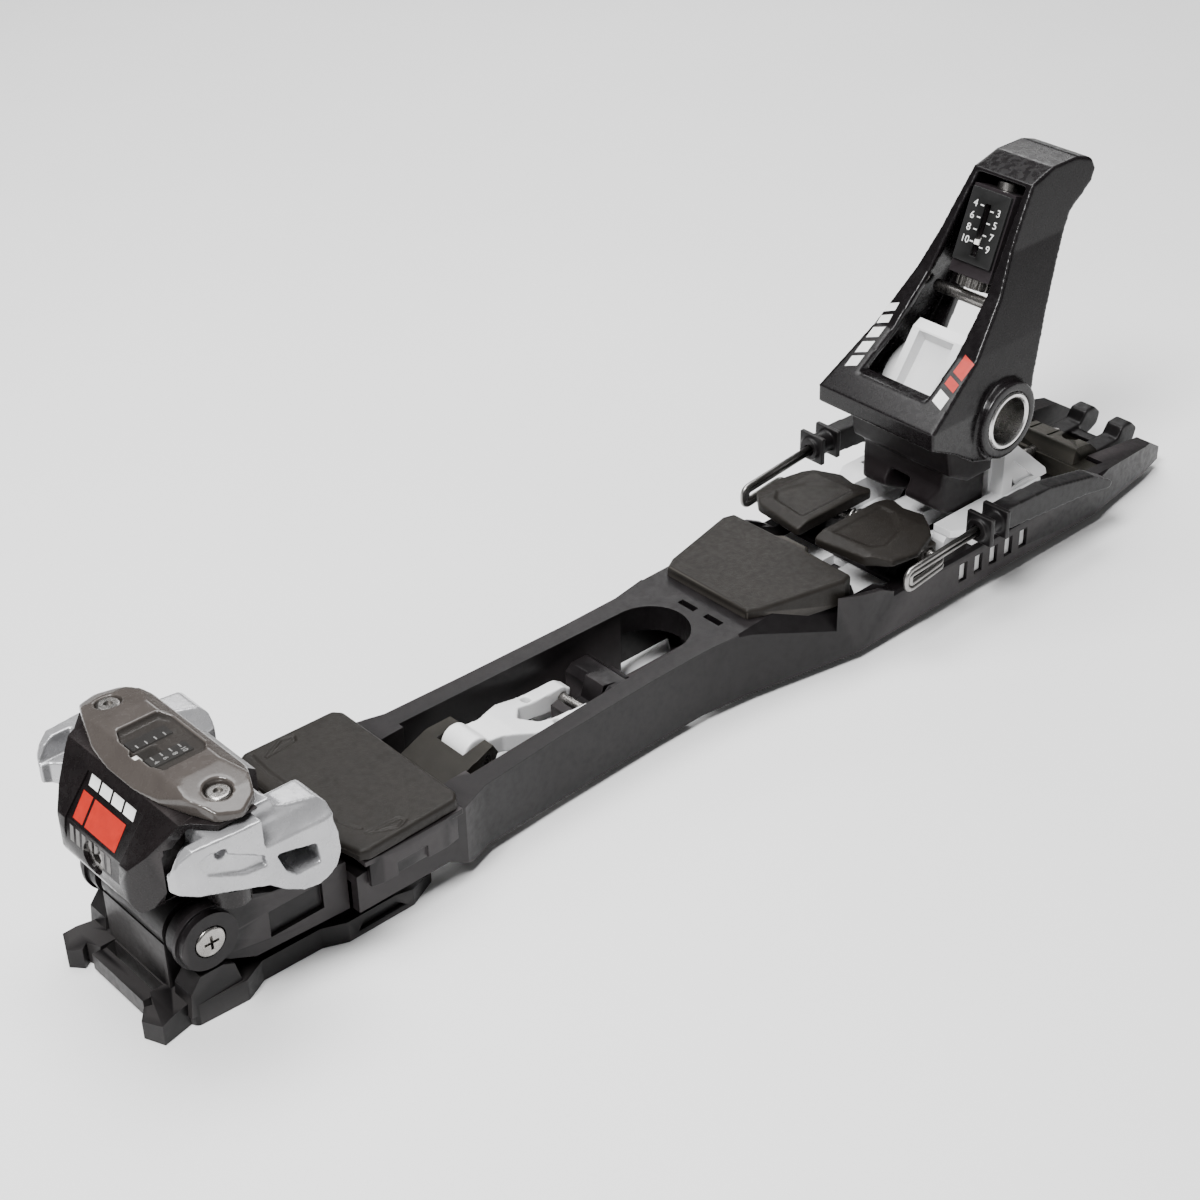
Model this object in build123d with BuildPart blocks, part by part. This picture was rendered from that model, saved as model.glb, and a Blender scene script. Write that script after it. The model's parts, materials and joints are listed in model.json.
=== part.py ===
from build123d import *
from math import cos, radians, sin
import os

# Frame-type ski touring binding, ready to screw to a ski.
# Axes: +X from toe to heel, +Y to the far side, +Z up, Z = 0 on the ski's top sheet.
# The origin is the centre of the toe base's screw pattern, on the ski.

os.makedirs("parts", exist_ok=True)

# Driving dimensions, in millimetres
STAND_HEIGHT = 36.0        # sole plane of the boot
PIVOT_X = -36.0            # toe pivot axle, about which the whole frame tilts
PIVOT_Z = 29.0
PIVOT_RADIUS = 4.0
BARREL_RADIUS = 10.0
RUNNING_FIT = 0.05         # radial clearance of every running fit
TOE_HOLE_X = 20.75         # half spacings of the toe base's screw pattern
TOE_HOLE_Y = 18.0
REAR_HOLE_X = 45.0         # half spacings of the rear base's screw pattern
REAR_HOLE_Y = 13.0
REAR_PATTERN_X = 325.0
SKI_SCREW_RADIUS = 2.8
SKI_SCREW_HEAD = 5.0
WING_PIN_X = -27.0         # upright pins of the toe wings
WING_PIN_Y = 29.4
WING_PIN_RADIUS = 2.5
WING_HIGH = 74.5
BOOT_TOE_X = 36.5          # centre of the boot's round toe
BOOT_TOE_RADIUS = 35.5     # boot toe of 69 mm and 1 mm of play
SOLE_THICKNESS = 19.0
HEEL_AXLE_X = 327.0        # axle tube that the heel unit opens about
HEEL_AXLE_Z = 68.0
HEEL_AXLE_RADIUS = 11.5
FRAME_TAIL_X = 441.0
RAIL_OUTER_Y = 35.0
TRACK_INNER_Y = 28.5
LEVER_PIN_X = 66.0         # mode lever's own pin
LEVER_PIN_Z = 17.0
LINK_FRONT_X = 85.0        # eye between the lever and the fork
LINK_FRONT_Z = 24.0
LINK_REAR_X = 134.0        # fork's pin in the latch slider
LINK_REAR_Z = 16.0
BRAKE_X = 281.0            # brake shaft
BRAKE_Z = 30.0
BRAKE_ARM_Y = 42.0
WIRE_RADIUS = 2.2
RISER_PIN_X = 409.0        # climbing aid's pin
RISER_PIN_Z = 10.5


def upright(outline, low, high, mode=Mode.ADD):
    """Adds an outline drawn from above, standing between two heights."""
    with BuildSketch(Plane.XY.offset(low)) as section:
        Polygon(*outline, align=None)
    extrude(section.sketch, amount=high - low, mode=mode)


def sideways(outline, low, high, mode=Mode.ADD):
    """Adds an outline drawn from the side, as (x, z), between two values of Y."""
    with BuildSketch(Plane.XZ.offset(-high)) as section:
        Polygon(*outline, align=None)
    extrude(section.sketch, amount=high - low, mode=mode)


def lengthways(outline, low, high, mode=Mode.ADD):
    """Adds an outline drawn from the front, as (y, z), between two values of X."""
    with BuildSketch(Plane.YZ.offset(low)) as section:
        Polygon(*outline, align=None)
    extrude(section.sketch, amount=high - low, mode=mode)


def block(x, y, z, mode=Mode.ADD):
    """Adds a box between two values of each axis."""
    upright([(x[0], y[0]), (x[1], y[0]), (x[1], y[1]), (x[0], y[1])], z[0], z[1], mode)


def rod(plane, radius, low, high, mode=Mode.ADD):
    """Adds a round bar along a plane's normal, between two distances from the plane."""
    with BuildSketch(plane.offset(low)) as section:
        Circle(radius)
    extrude(section.sketch, amount=high - low, mode=mode)


def cross_plane(x, z):
    """A plane whose normal is +Y, at a point of the side view."""
    return Plane(origin=(x, 0, z), x_dir=(-1, 0, 0), z_dir=(0, 1, 0))


def standing_plane(x, y):
    """A plane whose normal is +Z, at a point of the plan."""
    return Plane(origin=(x, y, 0), x_dir=(1, 0, 0), z_dir=(0, 0, 1))


def coil(plane, radius, wire, turns, length, mode=Mode.ADD):
    """Adds a round-wire compression spring along a plane's normal."""
    with BuildLine() as path:
        Helix(pitch=length / turns, height=length, radius=radius, center=plane.origin,
              direction=plane.z_dir)
    start = path.line @ 0
    with BuildSketch(Plane(origin=start, z_dir=path.line % 0)) as section:
        Circle(wire)
    sweep(section.sketch, path=path.line, is_frenet=True, mode=mode)


def both_sides(outline):
    """Closes a half outline, given from front to rear at +Y, with its mirror image."""
    return list(outline) + [(x, -y) for x, y in reversed(outline)]


def keep(builder, label):
    """Labels a finished piece and writes its file."""
    builder.part.label = label
    export_step(builder.part, "parts/" + label + ".step")


# ---------------------------------------------------------------- ski side

# Toe base: a plate with a cross lug for the pivot axle and two forward claws
with BuildPart() as toe_base:
    upright(both_sides([(-46, 25), (-44, 28.5), (-26, 29.5), (-18, 25.5), (4, 26), (12, 29.5), (38, 29.5),
                        (50, 24)]), 0, 8)
    fillet(toe_base.edges().filter_by(Axis.Z), 2)
    sideways([(-46, 4), (-26, 4), (-29, 16), (-33, 18), (-41, 18), (-45, 13)], 19.5, 28.5)
    sideways([(-46, 4), (-26, 4), (-29, 16), (-33, 18), (-41, 18), (-45, 13)], -28.5, -19.5)
    block((-45.5, -27), (-17, 17), (5, 26))
    rod(cross_plane(PIVOT_X, PIVOT_Z), BARREL_RADIUS - 0.5, -17, 17)
    for side in (-1, 1):
        claw = [(-44, 14), (-44, 26), (-51, 27.5), (-56, 28.5), (-59, 21.5), (-55.5, 17.5), (-53, 19),
                (-51, 14)]
        upright([(x, side * y) for x, y in claw][::side], 0, 8.5)
    block((-54, -49), (-14.5, 14.5), (1, 7))
    sideways([(-70, 4.5), (-47, 9.5), (-70, 9.5)], -30, 30, Mode.SUBTRACT)
    # wedge-shaped tail under the boot toe
    sideways([(30, 8.2), (51, 3.5), (51, 9), (30, 9)], -30, 30, Mode.SUBTRACT)
    for side in (-1, 1):
        sideways([(16, 2), (35, 2), (31, 5.5), (18, 5.5)], *sorted((side * 28, side * 30)),
                 mode=Mode.SUBTRACT)
    # weight-saving pockets beside the screws
    block((0, 14), (-9, 9), (2.5, 9), Mode.SUBTRACT)
    for side in (-1, 1):
        block((-4, 8), (side * 20 - 3, side * 20 + 3), (3, 9), Mode.SUBTRACT)
    rod(cross_plane(PIVOT_X, PIVOT_Z), PIVOT_RADIUS, -20, 20, Mode.SUBTRACT)
    with Locations(Plane.XY.offset(8)):
        with GridLocations(2 * TOE_HOLE_X, 2 * TOE_HOLE_Y, 2, 2):
            CounterSinkHole(SKI_SCREW_RADIUS, SKI_SCREW_HEAD, 9)
keep(toe_base, "toe_base")

# Pivot axle: a plain steel rod held in the lug, drilled at both ends
with BuildPart() as pivot_axle:
    rod(cross_plane(PIVOT_X, PIVOT_Z), PIVOT_RADIUS, -26.5, 26.5)
    for side in (-1, 1):
        rod(cross_plane(PIVOT_X, PIVOT_Z), 2.0, side * 20, side * 26.5, Mode.SUBTRACT)
keep(pivot_axle, "pivot_axle")

# Pivot screws: a domed cross-recess head on each end of the axle
with BuildPart() as pivot_screws:
    for side in (-1, 1):
        rod(cross_plane(PIVOT_X, PIVOT_Z), 2.0, side * 20.5, side * 26.5)
        rod(cross_plane(PIVOT_X, PIVOT_Z), 5.2, side * 26.5, side * 29.2)
    fillet(pivot_screws.faces().filter_by(Axis.Y).group_by(Axis.Y)[0].edges(), 1)
    fillet(pivot_screws.faces().filter_by(Axis.Y).group_by(Axis.Y)[-1].edges(), 1)
    for side in (-1, 1):
        block((PIVOT_X - 2.6, PIVOT_X + 2.6), sorted((side * 27.6, side * 30)),
              (PIVOT_Z - 0.5, PIVOT_Z + 0.5), Mode.SUBTRACT)
        block((PIVOT_X - 0.5, PIVOT_X + 0.5), sorted((side * 27.6, side * 30)),
              (PIVOT_Z - 2.6, PIVOT_Z + 2.6), Mode.SUBTRACT)
keep(pivot_screws, "pivot_screws")

# Rear base: a long plate on the ski with latch hooks in front and ears for the climbing aid
with BuildPart() as rear_base:
    upright(both_sides([(192, 12), (198, 20), (412, 20), (418, 16)]), 0, 6)
    for side in (-1, 1):
        block((197, 215), sorted((side * 9, side * 12)), (5, 16.5))
        block((197, 215), sorted((side * 11, side * 18)), (13, 16.5))
        sideways([(401, 5), (417, 5), (RISER_PIN_X + 4, 14), (RISER_PIN_X - 4, 14)],
                 *sorted((side * 15, side * 19)))
    rod(cross_plane(RISER_PIN_X, RISER_PIN_Z), 1.8, -19, 19, Mode.SUBTRACT)
    with Locations(Plane.XY.offset(6)):
        with Locations((REAR_PATTERN_X, 0)):
            with GridLocations(2 * REAR_HOLE_X, 2 * REAR_HOLE_Y, 2, 2):
                CounterSinkHole(SKI_SCREW_RADIUS, SKI_SCREW_HEAD, 8)
keep(rear_base, "rear_base")

# Pin of the climbing aid
with BuildPart() as riser_pin:
    rod(cross_plane(RISER_PIN_X, RISER_PIN_Z), 1.8, -19, 19)
keep(riser_pin, "riser_pin")

# Climbing aid: a forked prop lying back on the tail, with a step on each prong
with BuildPart() as climbing_aid:
    rod(cross_plane(RISER_PIN_X, RISER_PIN_Z), 4.0, -14.5, 14.5)
    for side in (-1, 1):
        sideways(
            [(RISER_PIN_X, 7.5), (434, 7.5), (439, 10), (440.5, 15), (436, 19), (430, 18.5), (427, 14),
             (RISER_PIN_X, 14)],
            *sorted((side * 5.5, side * 13.5)))
    block((420, 426), (-6, 6), (8, 13))
    fillet(climbing_aid.edges().filter_by(Axis.Y).filter_by_position(Axis.X, 426, 445), 1.2)
    rod(cross_plane(RISER_PIN_X, RISER_PIN_Z), 1.8 + RUNNING_FIT, -15, 15, Mode.SUBTRACT)
keep(climbing_aid, "climbing_aid")

# ---------------------------------------------------------------- frame

# Toe carrier: ears with barrel bosses round the pivot and a deck under the toe piece
with BuildPart() as toe_carrier:
    ear = [(-36, 20), (-20, 12), (15.5, 10), (15.5, 29), (-12, 33), (-24, 38.5), (-36, 38.8)]
    for side in (-1, 1):
        sideways(ear, *sorted((side * 19.7, side * 26.5)))
        rod(cross_plane(PIVOT_X, PIVOT_Z), BARREL_RADIUS, side * 19.7, side * 28.6)
        rod(cross_plane(PIVOT_X, PIVOT_Z), BARREL_RADIUS + 1, side * 24.5, side * 26.2)
    block((-22, 15.5), (-22, 22), (24, 29))
    block((-22, 4), (-17.5, 17.5), (28, 42))
    for side in (-1, 1):
        rod(cross_plane(PIVOT_X, PIVOT_Z), 5.5, side * 26.5, side * 30, Mode.SUBTRACT)
        rod(cross_plane(PIVOT_X, PIVOT_Z), 5.0, side * 19, side * 27, Mode.SUBTRACT)
        block((-14, 6), sorted((side * 25, side * 28)), (16, 26), Mode.SUBTRACT)
keep(toe_carrier, "toe_carrier")

# Pivot bushes pressed in the barrels
with BuildPart() as pivot_bushes:
    for side in (-1, 1):
        rod(cross_plane(PIVOT_X, PIVOT_Z), 5.0, side * 19.7, side * 26.4)
        rod(cross_plane(PIVOT_X, PIVOT_Z), PIVOT_RADIUS + RUNNING_FIT, side * 19, side * 27, Mode.SUBTRACT)
keep(pivot_bushes, "pivot_bushes")

# Main frame: two rails round a long cutout, a deck under the heel pad and a track behind it
FRAME_PLAN = [(16, 31), (60, 31), (72, 27), (104, 25), (150, 23.5), (175, 23.5), (196, 26), (222, 31),
              (244, RAIL_OUTER_Y), (385, RAIL_OUTER_Y), (FRAME_TAIL_X - 16, 29), (FRAME_TAIL_X, 25)]
FRAME_SIDE = [(16, 10.5), (52, 10.5), (62, 4.5), (110, 3.5), (200, 3.5), (250, 3.5), (330, 4.5),
              (400, 4.5), (FRAME_TAIL_X, 4), (FRAME_TAIL_X, 10), (430, 17), (392, 22), (345, 21.4),
              (264, 21.4), (255, 26), (243, 29), (226, 33), (196, 32), (176, 31), (100, 30), (66, 29),
              (16, 25)]
WINDOWS = 5                # side windows of each rail
WINDOW_X = 300.0
WINDOW_PITCH = 9.0
CUTOUT_END_X = 170.0
CUTOUT_END_RADIUS = 15.0
with BuildPart() as main_frame:
    upright(both_sides(FRAME_PLAN), 0, 40)
    sideways(FRAME_SIDE, -40, 40, Mode.INTERSECT)
    # toe end: a channel open downwards, round the toe base
    block((10, 62), (-27.5, 27.5), (0, 21), Mode.SUBTRACT)
    # long cutout between the rails, ending in a round bowl
    upright([(72, -19), (72, 19), (104, 17.5), (CUTOUT_END_X, CUTOUT_END_RADIUS),
             (CUTOUT_END_X, -CUTOUT_END_RADIUS), (104, -17.5)], 0, 45, Mode.SUBTRACT)
    rod(standing_plane(CUTOUT_END_X, 0), CUTOUT_END_RADIUS, 0, 45, Mode.SUBTRACT)
    # space under the deck for the latch, and under the track for the rear base
    block((CUTOUT_END_X, 252), (-20.8, 20.8), (0, 21), Mode.SUBTRACT)
    block((240, 450), (-20.8, 20.8), (0, 9), Mode.SUBTRACT)
    block((61, 76), (-19, 19), (0, 12), Mode.SUBTRACT)
    # track for the heel carriage, open at the tail round the climbing aid
    block((247, 396), (-TRACK_INNER_Y, TRACK_INNER_Y), (12, 45), Mode.SUBTRACT)
    block((396, 450), (-20.8, 20.8), (0, 45), Mode.SUBTRACT)
    # slots beside the front of the pad
    for y in (-12, 1):
        block((189, 191.5), (y - 4, y + 4), (20, 40), Mode.SUBTRACT)
    # facet along the outside of the rails
    for side in (-1, 1):
        lengthways([(side * 29.5, 27), (side * 36, 27), (side * 36, 19)][::-side], 262, FRAME_TAIL_X,
                   Mode.SUBTRACT)
        lengthways([(side * 24, 33), (side * 33, 33), (side * 33, 17)][::-side], 190, 262, Mode.SUBTRACT)
        # side windows that show the rack
        for number in range(WINDOWS):
            x = WINDOW_X + WINDOW_PITCH * number
            block((x, x + 4.5), sorted((side * 28, side * 36)), (9, 17), Mode.SUBTRACT)
    # round hole for the lever pin and the hook eye at the waist
    rod(cross_plane(LEVER_PIN_X, LEVER_PIN_Z), 2.5, -23.5, 23.5, Mode.SUBTRACT)
    block((LEVER_PIN_X - 6, 73), (-16.5, 16.5), (0, 45), Mode.SUBTRACT)
    # pocket for the stem of the gliding pad's carrier
    block((25, 51), (-18.5, 18.5), (15, 45), Mode.SUBTRACT)
keep(main_frame, "main_frame")

# Rack strips: toothed white strips inside both rails, seen through the windows
RACK_TEETH = 21
RACK_PITCH = 3.0
with BuildPart() as rack_strips:
    for side in (-1, 1):
        block((295, 360), sorted((side * 27.9, side * TRACK_INNER_Y)), (12, 18))
        for number in range(RACK_TEETH):
            x = 296.5 + RACK_PITCH * number
            block((x, x + 1.4), sorted((side * 27.4, side * 28)), (12, 18))
        # a broad tooth stands in each window
        for number in range(WINDOWS):
            x = WINDOW_X + WINDOW_PITCH * number
            block((x + 0.2, x + 4.3), sorted((side * 27.9, side * 33.6)), (12, 16.8))
            block((x + 0.2, x + 4.3), sorted((side * 28.6, side * 33.6)), (9.2, 12.5))
keep(rack_strips, "rack_strips")

# Lever pin across the front of the cutout
with BuildPart() as lever_pin:
    rod(cross_plane(LEVER_PIN_X, LEVER_PIN_Z), 2.5, -23, 23)
keep(lever_pin, "lever_pin")

# Heel pad: a thick wedge on the deck with a tongue between the brake pedals
with BuildPart() as heel_pad:
    upright(both_sides([(198.5, 20.5), (204, 23.5), (238, 31.5), (243, 30), (243.5, 8), (246, 6)]), 26,
            STAND_HEIGHT)
    fillet(heel_pad.edges().filter_by(Axis.Z), 1.2)
    fillet(heel_pad.faces().sort_by(Axis.Z)[-1].edges(), 1.5)
    # the pad is moulded over the deck's top
    add(main_frame.part, mode=Mode.SUBTRACT)
keep(heel_pad, "heel_pad")

# Adjuster block: housing of the length screw's head, across the tail
with BuildPart() as adjuster_block:
    block((386, 395.8), (-28.2, 28.2), (12.2, 20))
    sideways([(386.5, 14), (403.6, 14.5), (403.6, 21), (398, 26), (389, 27)], -20, 20)
    fillet(adjuster_block.edges().filter_by(Axis.Y).filter_by_position(Axis.X, 388, 410), 1)
    block((400, 410), (-15.5, 15.5), (0, 16), Mode.SUBTRACT)
    for side in (-1, 1):
        rod(standing_plane(397, side * 11), 3.6, 23, 40, Mode.SUBTRACT)
        block((390, 403), sorted((side * 4, side * 5)), (22, 30), Mode.SUBTRACT)
    rod(Plane(origin=(0, 0, 18), x_dir=(0, 1, 0), z_dir=(1, 0, 0)), 3.1, 380, 410, Mode.SUBTRACT)
    rod(Plane(origin=(0, 0, 18), x_dir=(0, 1, 0), z_dir=(1, 0, 0)), 5.3, 400, 410, Mode.SUBTRACT)
keep(adjuster_block, "adjuster_block")

# ---------------------------------------------------------------- toe piece

TOE_SPRING_Z = 54.5        # axis of the toe's spring and setting screw
WALL_REAR_X = -46.5        # back of the front shield
COVER_LOW = 77.0           # underside of the toe cover

# Toe housing: shield in front, spring chamber in the middle, bays for the wings at the sides
with BuildPart() as toe_housing:
    shield = [(17, 42.2), (24, 47.5), (27, 54), (27, 68.5), (34.5, 71.5), (38.5, 76.9)]
    lengthways(shield + [(-y, z) for y, z in reversed(shield)], -55, -4)
    sideways([(-48, 42.2), (-53.5, 46), (-56, 52), (-54.3, 61), (-47.5, 69.5), (-41.5, 76.9), (-17, 76.9),
              (-4, 68),
              (-4, 42.2)], -45, 45, Mode.INTERSECT)
    upright(both_sides([(-57, 13), (-54.5, 19), (-50, 24), (-44, 28.5), (-38.5, 31.5), (-33, 37.5),
                        (-4, 39)]),
            40, 80, Mode.INTERSECT)
    for side in (-1, 1):
        sideways([(WALL_REAR_X, 48.5), (0, 48.5), (0, 75), (-39.5, 75), (-44.5, 68.5), (WALL_REAR_X, 66)],
                 *sorted((side * 15, side * 50)), mode=Mode.SUBTRACT)
        block((-19.5, 0), sorted((side * 17, side * 50)), (40, 60), Mode.SUBTRACT)
        block((-20, 0), sorted((side * 13, side * 50)), (60, 90), Mode.SUBTRACT)
        # foot of each wing's pin
        rod(standing_plane(WING_PIN_X, side * WING_PIN_Y), 6, 42.2, 48.5)
        block((-33, -21), sorted((side * 15, side * WING_PIN_Y)), (42.2, 48.5))
    # recess of the front panel
    sideways([(-60, 52.5), (-55.2, 52.5), (-53.5, 60.7), (-46.9, 69), (-43.2, 73.5), (-60, 73.5)], -15, 15,
             Mode.SUBTRACT)
    # spring chamber and the slot above it for the indicator
    rod(Plane(origin=(0, 0, TOE_SPRING_Z), x_dir=(0, 1, 0), z_dir=(1, 0, 0)), 8.0, -45, -6, Mode.SUBTRACT)
    rod(Plane(origin=(0, 0, TOE_SPRING_Z), x_dir=(0, 1, 0), z_dir=(1, 0, 0)), 3.0 + RUNNING_FIT, -58, -44,
        Mode.SUBTRACT)
    rod(Plane(origin=(0, 0, TOE_SPRING_Z), x_dir=(0, 1, 0), z_dir=(1, 0, 0)), 5.3, -58, -50, Mode.SUBTRACT)
    block((-40, -28), (-2, 2), (60, 90), Mode.SUBTRACT)
    for side in (-1, 1):
        rod(standing_plane(WING_PIN_X, side * WING_PIN_Y), WING_PIN_RADIUS, 44, 90, Mode.SUBTRACT)
keep(toe_housing, "toe_housing")

# Toe cover: a low lobed lid screwed down over both wing pins
with BuildPart() as toe_cover:
    upright(both_sides([(-42, 8), (-40.5, 18), (-37, 28), (-33, 37), (-26, 40), (-19, 36), (-14, 25),
                        (-14, 10)]),
            COVER_LOW, COVER_LOW + 10)
    fillet(toe_cover.edges().filter_by(Axis.Z), 3)
    sideways([(-44, 77), (-42, 77.4), (-36.3, 83.5), (-33, 84), (-19, 84), (-13, 81), (-13, 77)],
             -45, 45, Mode.INTERSECT)
    lengthways([(-43, 77), (-42, 78.5), (-33, 81.8), (-20, 84), (20, 84), (33, 81.8), (42, 78.5), (43, 77)],
               -55, -10, Mode.INTERSECT)
    for side in (-1, 1):
        rod(standing_plane(WING_PIN_X, side * WING_PIN_Y), 4.3, COVER_LOW + 2.6, 95, Mode.SUBTRACT)
        rod(standing_plane(WING_PIN_X, side * WING_PIN_Y), 1.6, 75, 90, Mode.SUBTRACT)
    # recess and sight slot of the setting scale
    upright(both_sides([(-36, 8), (-34, 13), (-20, 13), (-17.5, 9)]), COVER_LOW + 4.4, 95, Mode.SUBTRACT)
    block((-37, -28), (-2.2, 2.2), (75, 90), Mode.SUBTRACT)
keep(toe_cover, "toe_cover")

# Screws of the toe cover, with domed heads
with BuildPart() as toe_cover_screws:
    for side in (-1, 1):
        rod(standing_plane(WING_PIN_X, side * WING_PIN_Y), 1.6, COVER_LOW - 0.3, COVER_LOW + 2.6)
        rod(standing_plane(WING_PIN_X, side * WING_PIN_Y), 4.0, COVER_LOW + 2.6, COVER_LOW + 4.6)
    fillet(toe_cover_screws.faces().filter_by(Axis.Z).group_by(Axis.Z)[-1].edges(), 1.1)
    for side in (-1, 1):
        rod(standing_plane(WING_PIN_X, side * WING_PIN_Y), 1.5, COVER_LOW + 3.6, 90, Mode.SUBTRACT)
keep(toe_cover_screws, "toe_cover_screws")

# Clear window over the toe's setting scale
with BuildPart() as toe_window:
    upright(both_sides([(-35.6, 7.8), (-33.8, 12.6), (-20.2, 12.6), (-17.9, 8.8)]), COVER_LOW + 5.5,
            COVER_LOW + 6.3)
keep(toe_window, "toe_window")

# Scale strips either side of the indicator
with BuildPart() as toe_scale:
    for side in (-1, 1):
        block((-35, -21), sorted((side * 3, side * 8)), (COVER_LOW + 4.4, COVER_LOW + 5))
keep(toe_scale, "toe_scale")

# Upright steel pins that the wings turn on
with BuildPart() as wing_pins:
    for side in (-1, 1):
        rod(standing_plane(WING_PIN_X, side * WING_PIN_Y), WING_PIN_RADIUS, 44, COVER_LOW - 0.4)
keep(wing_pins, "wing_pins")

# Setting screw of the toe, along the spring's axis
TOE_SCREW_PLANE = Plane(origin=(0, 0, TOE_SPRING_Z), x_dir=(0, 1, 0), z_dir=(1, 0, 0))
with BuildPart() as toe_setting_screw:
    rod(TOE_SCREW_PLANE, 3.0, -51, -22)
    rod(TOE_SCREW_PLANE, 5.0, -53.5, -50.2)
    with BuildSketch(TOE_SCREW_PLANE.offset(-54)) as socket:
        RegularPolygon(2.6, 6)
    extrude(socket.sketch, amount=3.2, mode=Mode.SUBTRACT)
keep(toe_setting_screw, "toe_setting_screw")

# Spring nut of the toe, with the pointer that shows in the window
with BuildPart() as toe_spring_nut:
    rod(TOE_SCREW_PLANE, 7.7, -40, -36)
    block((-39.5, -37), (-1.6, 1.6), (TOE_SPRING_Z + 5, 63.8))
    block((-39.5, -34.6), (-1.6, 1.6), (61.9, 63.8))
    block((-36.4, -34.6), (-1.6, 1.6), (61.9, COVER_LOW + 4.2))
    rod(TOE_SCREW_PLANE, 3.0 + RUNNING_FIT, -45, -35, Mode.SUBTRACT)
keep(toe_spring_nut, "toe_spring_nut")

# Toe spring
with BuildPart() as toe_spring:
    coil(TOE_SCREW_PLANE.offset(-28.2), 5.8, 1.2, 5, 12.7)
keep(toe_spring, "toe_spring")

# Plunger that the spring presses towards the wings
with BuildPart() as toe_plunger:
    rod(TOE_SCREW_PLANE, 7.9, -13.5, -7)
    rod(TOE_SCREW_PLANE, 4.2, -19, -13)
    rod(TOE_SCREW_PLANE, 3.2, -20, -15, Mode.SUBTRACT)
keep(toe_plunger, "toe_plunger")


def toe_wing(side):
    """One wing: a curved jaw round its pin, with a horn over the boot's toe."""
    plan = [(-50.5, 34.5), (-49, 38), (-44, 40), (-28, 41.5), (-10, 42), (0, 42.5), (5, 41.5), (6, 36),
            (3, 20), (-13, 18.5), (-33, 22), (-43, 29), (-47, 34)]
    with BuildPart() as wing:
        upright([(x, side * y) for x, y in plan][::side], 36, 82)
        sideways([(-51, 60.8), (-43, 57.5), (-33, 54.3), (-21, 50), (-16, 45.5), (-10, 42), (-4, 41),
                  (3, 44.5), (5, 49), (4.5, 56), (3, 62), (3.5, 66), (1, 68.5), (-10, 70.5),
                  (-12.5, 71.5), (-13.5, WING_HIGH), (-44, WING_HIGH), (-47.5, 72), (-51, 66)],
                 -50, 50, Mode.INTERSECT)
        # room for the boot's sole and, above it, for its narrower toe box
        rod(standing_plane(BOOT_TOE_X, 0), BOOT_TOE_RADIUS, 30, STAND_HEIGHT + SOLE_THICKNESS + 1,
            Mode.SUBTRACT)
        rod(standing_plane(BOOT_TOE_X, 0), BOOT_TOE_RADIUS - 7, 30, 90, Mode.SUBTRACT)
        # room for the shield's shoulder as the wing swings
        block((-60, -37.5), sorted((side * 10, side * 36)), (67, 80), Mode.SUBTRACT)
        rod(standing_plane(WING_PIN_X, side * WING_PIN_Y), WING_PIN_RADIUS + RUNNING_FIT, 30, 90,
            Mode.SUBTRACT)
        # scooped horn
        rod(Plane(origin=(0, side * 48, 76), x_dir=(0, 1, 0), z_dir=(1, 0, 0)), 13.5, -21, 10,
            Mode.SUBTRACT)
        lengthways([(side * 15, 58), (side * 31, 74), (side * 31, 84), (side * 15, 84)][::side], -14, 10,
                   Mode.SUBTRACT)
        # side window, long dished recess, small hole and a parting groove
        sideways([(-17.5, 59.5), (-14.8, 52.2), (-11.5, 49.3), (-3, 49.5), (-4, 56.5)],
                 *sorted((side * 10, side * 50)), mode=Mode.SUBTRACT)
        sideways([(-42.5, 69.5), (-40.5, 64), (-29, 58.9), (-21, 57.8), (-21.5, 61.5), (-30, 66.5),
                  (-38.5, 71.5)],
                 *sorted((side * 39.7, side * 50)), mode=Mode.SUBTRACT)
        rod(cross_plane(-34.9, 69), 1.8, side * 37, side * 50, Mode.SUBTRACT)
        block((-44.6, -44), sorted((side * 39.4, side * 50)), (50, 80), Mode.SUBTRACT)
    return wing


wing_far = toe_wing(1)
keep(wing_far, "wing_far")
wing_near = toe_wing(-1)
keep(wing_near, "wing_near")

# Bridge under the toe deck that carries the gliding pad's height screw
PAD_SCREW_X = 38.0
with BuildPart() as pad_bridge:
    block((24, 52), (-27.4, 27.4), (17.6, 20.8))
    rod(standing_plane(PAD_SCREW_X, 0), 3.0 + RUNNING_FIT, 0, 40, Mode.SUBTRACT)
keep(pad_bridge, "pad_bridge")

# Height screw of the gliding pad, with its head below the bridge
with BuildPart() as pad_height_screw:
    rod(standing_plane(PAD_SCREW_X, 0), 3.0, 17, 28)
    rod(standing_plane(PAD_SCREW_X, 0), 5.0, 13.5, 17.5)
    with BuildSketch(Plane.XY.offset(13)) as socket:
        with Locations((PAD_SCREW_X, 0)):
            RegularPolygon(2.6, 6)
    extrude(socket.sketch, amount=2.8, mode=Mode.SUBTRACT)
keep(pad_height_screw, "pad_height_screw")

# Carrier of the gliding pad: a stem in the frame's pocket, a table and side skirts
with BuildPart() as pad_carrier:
    block((18, 57), (-33.6, 33.6), (29.4, 31.4))
    block((25.4, 50.6), (-18.1, 18.1), (21.4, 30))
    for side in (-1, 1):
        upright([(x, side * y) for x, y in [(20, 31.4), (55, 31.4), (55, 33), (50, 34), (24, 34),
                                            (20, 33)]][::side],
                20, 31.4)
        block((30, 42), sorted((side * 33.2, side * 35)), (19, 25), Mode.SUBTRACT)
    rod(standing_plane(PAD_SCREW_X, 0), 3.0 + RUNNING_FIT, 0, 40, Mode.SUBTRACT)
keep(pad_carrier, "pad_carrier")

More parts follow.
